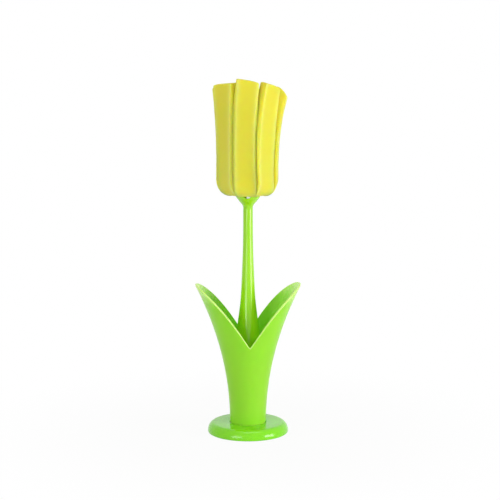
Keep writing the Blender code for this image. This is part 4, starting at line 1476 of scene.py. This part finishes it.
def make_stage(sizes):
    stage = sizes.stage
    ring = [(0.0, 0.0), (stage.fade_radius, 0.0), (stage.floor_radius, 0.0)]
    floor = add_mesh("studio_floor", lathe(ring, steps=64))
    if floor.data.polygons[0].normal.z < 0:
        floor.data.flip_normals()
    floor.data.materials.append(floor_material(stage))
    make_world(stage)
    for name in LAMP_PLACES:
        add_lamp(name, getattr(stage, name + "_power"), (0.0, 0.0, stage.light_height))
    camera = new_object("studio_camera", bpy.data.cameras.new("studio_camera"))
    place = ahead(stage.camera_distance, -degrees(stage.camera_yaw), stage.camera_height)
    aim_at(camera, place, (0.0, 0.0, stage.aim_height))
    camera.data.lens = stage.lens
    camera.data.sensor_width = 36.0
    camera.data.shift_x = stage.frame_shift / stage.frame_width
    camera.data.clip_start = 0.01
    camera.data.clip_end = 100.0
    scene = bpy.context.scene
    scene.camera = camera
    scene.view_settings.view_transform = "Standard"


# Operators

class CUPBRUSH_OT_foot(bpy.types.Operator):
    """Make the round foot with its ribs underneath"""

    bl_idname = "cupbrush.make_foot"
    bl_label = "Round Foot"

    def execute(self, context):
        make_foot(context.scene.cup_brush)
        return {"FINISHED"}


class CUPBRUSH_OT_shell(bpy.types.Operator):
    """Make the thin tube that opens into two leaves"""

    bl_idname = "cupbrush.make_shell"
    bl_label = "Leaf Shell"

    def execute(self, context):
        make_shell(context.scene.cup_brush)
        return {"FINISHED"}


class CUPBRUSH_OT_stem(bpy.types.Operator):
    """Make the stem with its flared foot and notched collar"""

    bl_idname = "cupbrush.make_stem"
    bl_label = "Stem"

    def execute(self, context):
        make_stem(context.scene.cup_brush)
        return {"FINISHED"}


class CUPBRUSH_OT_plug(bpy.types.Operator):
    """Make the white plug and its key"""

    bl_idname = "cupbrush.make_plug"
    bl_label = "Plug"

    def execute(self, context):
        make_plug(context.scene.cup_brush)
        return {"FINISHED"}


class CUPBRUSH_OT_foam(bpy.types.Operator):
    """Make the four folded foam strips"""

    bl_idname = "cupbrush.make_foam"
    bl_label = "Foam Strips"

    def execute(self, context):
        make_foam(context.scene.cup_brush)
        return {"FINISHED"}


class CUPBRUSH_OT_disc(bpy.types.Operator):
    """Make the disc that presses the strips onto the plug"""

    bl_idname = "cupbrush.make_disc"
    bl_label = "Press Disc"

    def execute(self, context):
        make_disc(context.scene.cup_brush)
        return {"FINISHED"}


class CUPBRUSH_OT_screws(bpy.types.Operator):
    """Make the plug screw and the foot screw"""

    bl_idname = "cupbrush.make_screws"
    bl_label = "Screws"

    def execute(self, context):
        make_screws(context.scene.cup_brush)
        return {"FINISHED"}


class CUPBRUSH_OT_stage(bpy.types.Operator):
    """Set up the floor, the lamps and the camera"""

    bl_idname = "cupbrush.make_stage"
    bl_label = "Studio"

    def execute(self, context):
        make_stage(context.scene.cup_brush)
        return {"FINISHED"}


class CUPBRUSH_PT_panel(bpy.types.Panel):
    """Sizes and colours of the brush, with a button for each piece"""

    bl_idname = "CUPBRUSH_PT_panel"
    bl_label = "Cup Brush"
    bl_space_type = "VIEW_3D"
    bl_region_type = "UI"
    bl_category = "Cup Brush"

    def draw(self, context):
        sizes = context.scene.cup_brush
        for operator, name in BUTTONS:
            box = self.layout.box()
            box.operator(operator)
            group = getattr(sizes, name)
            for entry in group.bl_rna.properties:
                if entry.identifier not in ("rna_type", "name"):
                    box.prop(group, entry.identifier)


BUTTONS = (
    ("cupbrush.make_foot", "foot"),
    ("cupbrush.make_shell", "shell"),
    ("cupbrush.make_stem", "stem"),
    ("cupbrush.make_plug", "head"),
    ("cupbrush.make_foam", "foam"),
    ("cupbrush.make_disc", "head"),
    ("cupbrush.make_screws", "head"),
    ("cupbrush.make_stage", "stage"),
)

CLASSES = (
    CUPBRUSH_PG_fits, CUPBRUSH_PG_foot, CUPBRUSH_PG_shell, CUPBRUSH_PG_stem, CUPBRUSH_PG_head,
    CUPBRUSH_PG_foam, CUPBRUSH_PG_stage, CUPBRUSH_PG_settings, CUPBRUSH_OT_foot,
    CUPBRUSH_OT_shell, CUPBRUSH_OT_stem, CUPBRUSH_OT_plug, CUPBRUSH_OT_foam, CUPBRUSH_OT_disc,
    CUPBRUSH_OT_screws, CUPBRUSH_OT_stage, CUPBRUSH_PT_panel,
)


def register():
    for cls in CLASSES:
        bpy.utils.register_class(cls)
    bpy.types.Scene.cup_brush = PointerProperty(type=CUPBRUSH_PG_settings)


def unregister():
    del bpy.types.Scene.cup_brush
    for cls in reversed(CLASSES):
        bpy.utils.unregister_class(cls)


def main():
    register()
    bpy.ops.cupbrush.make_foot()
    bpy.ops.cupbrush.make_shell()
    bpy.ops.cupbrush.make_stem()
    bpy.ops.cupbrush.make_plug()
    bpy.ops.cupbrush.make_foam()
    bpy.ops.cupbrush.make_disc()
    bpy.ops.cupbrush.make_screws()
    bpy.ops.cupbrush.make_stage()


if __name__ == "__main__":
    main()
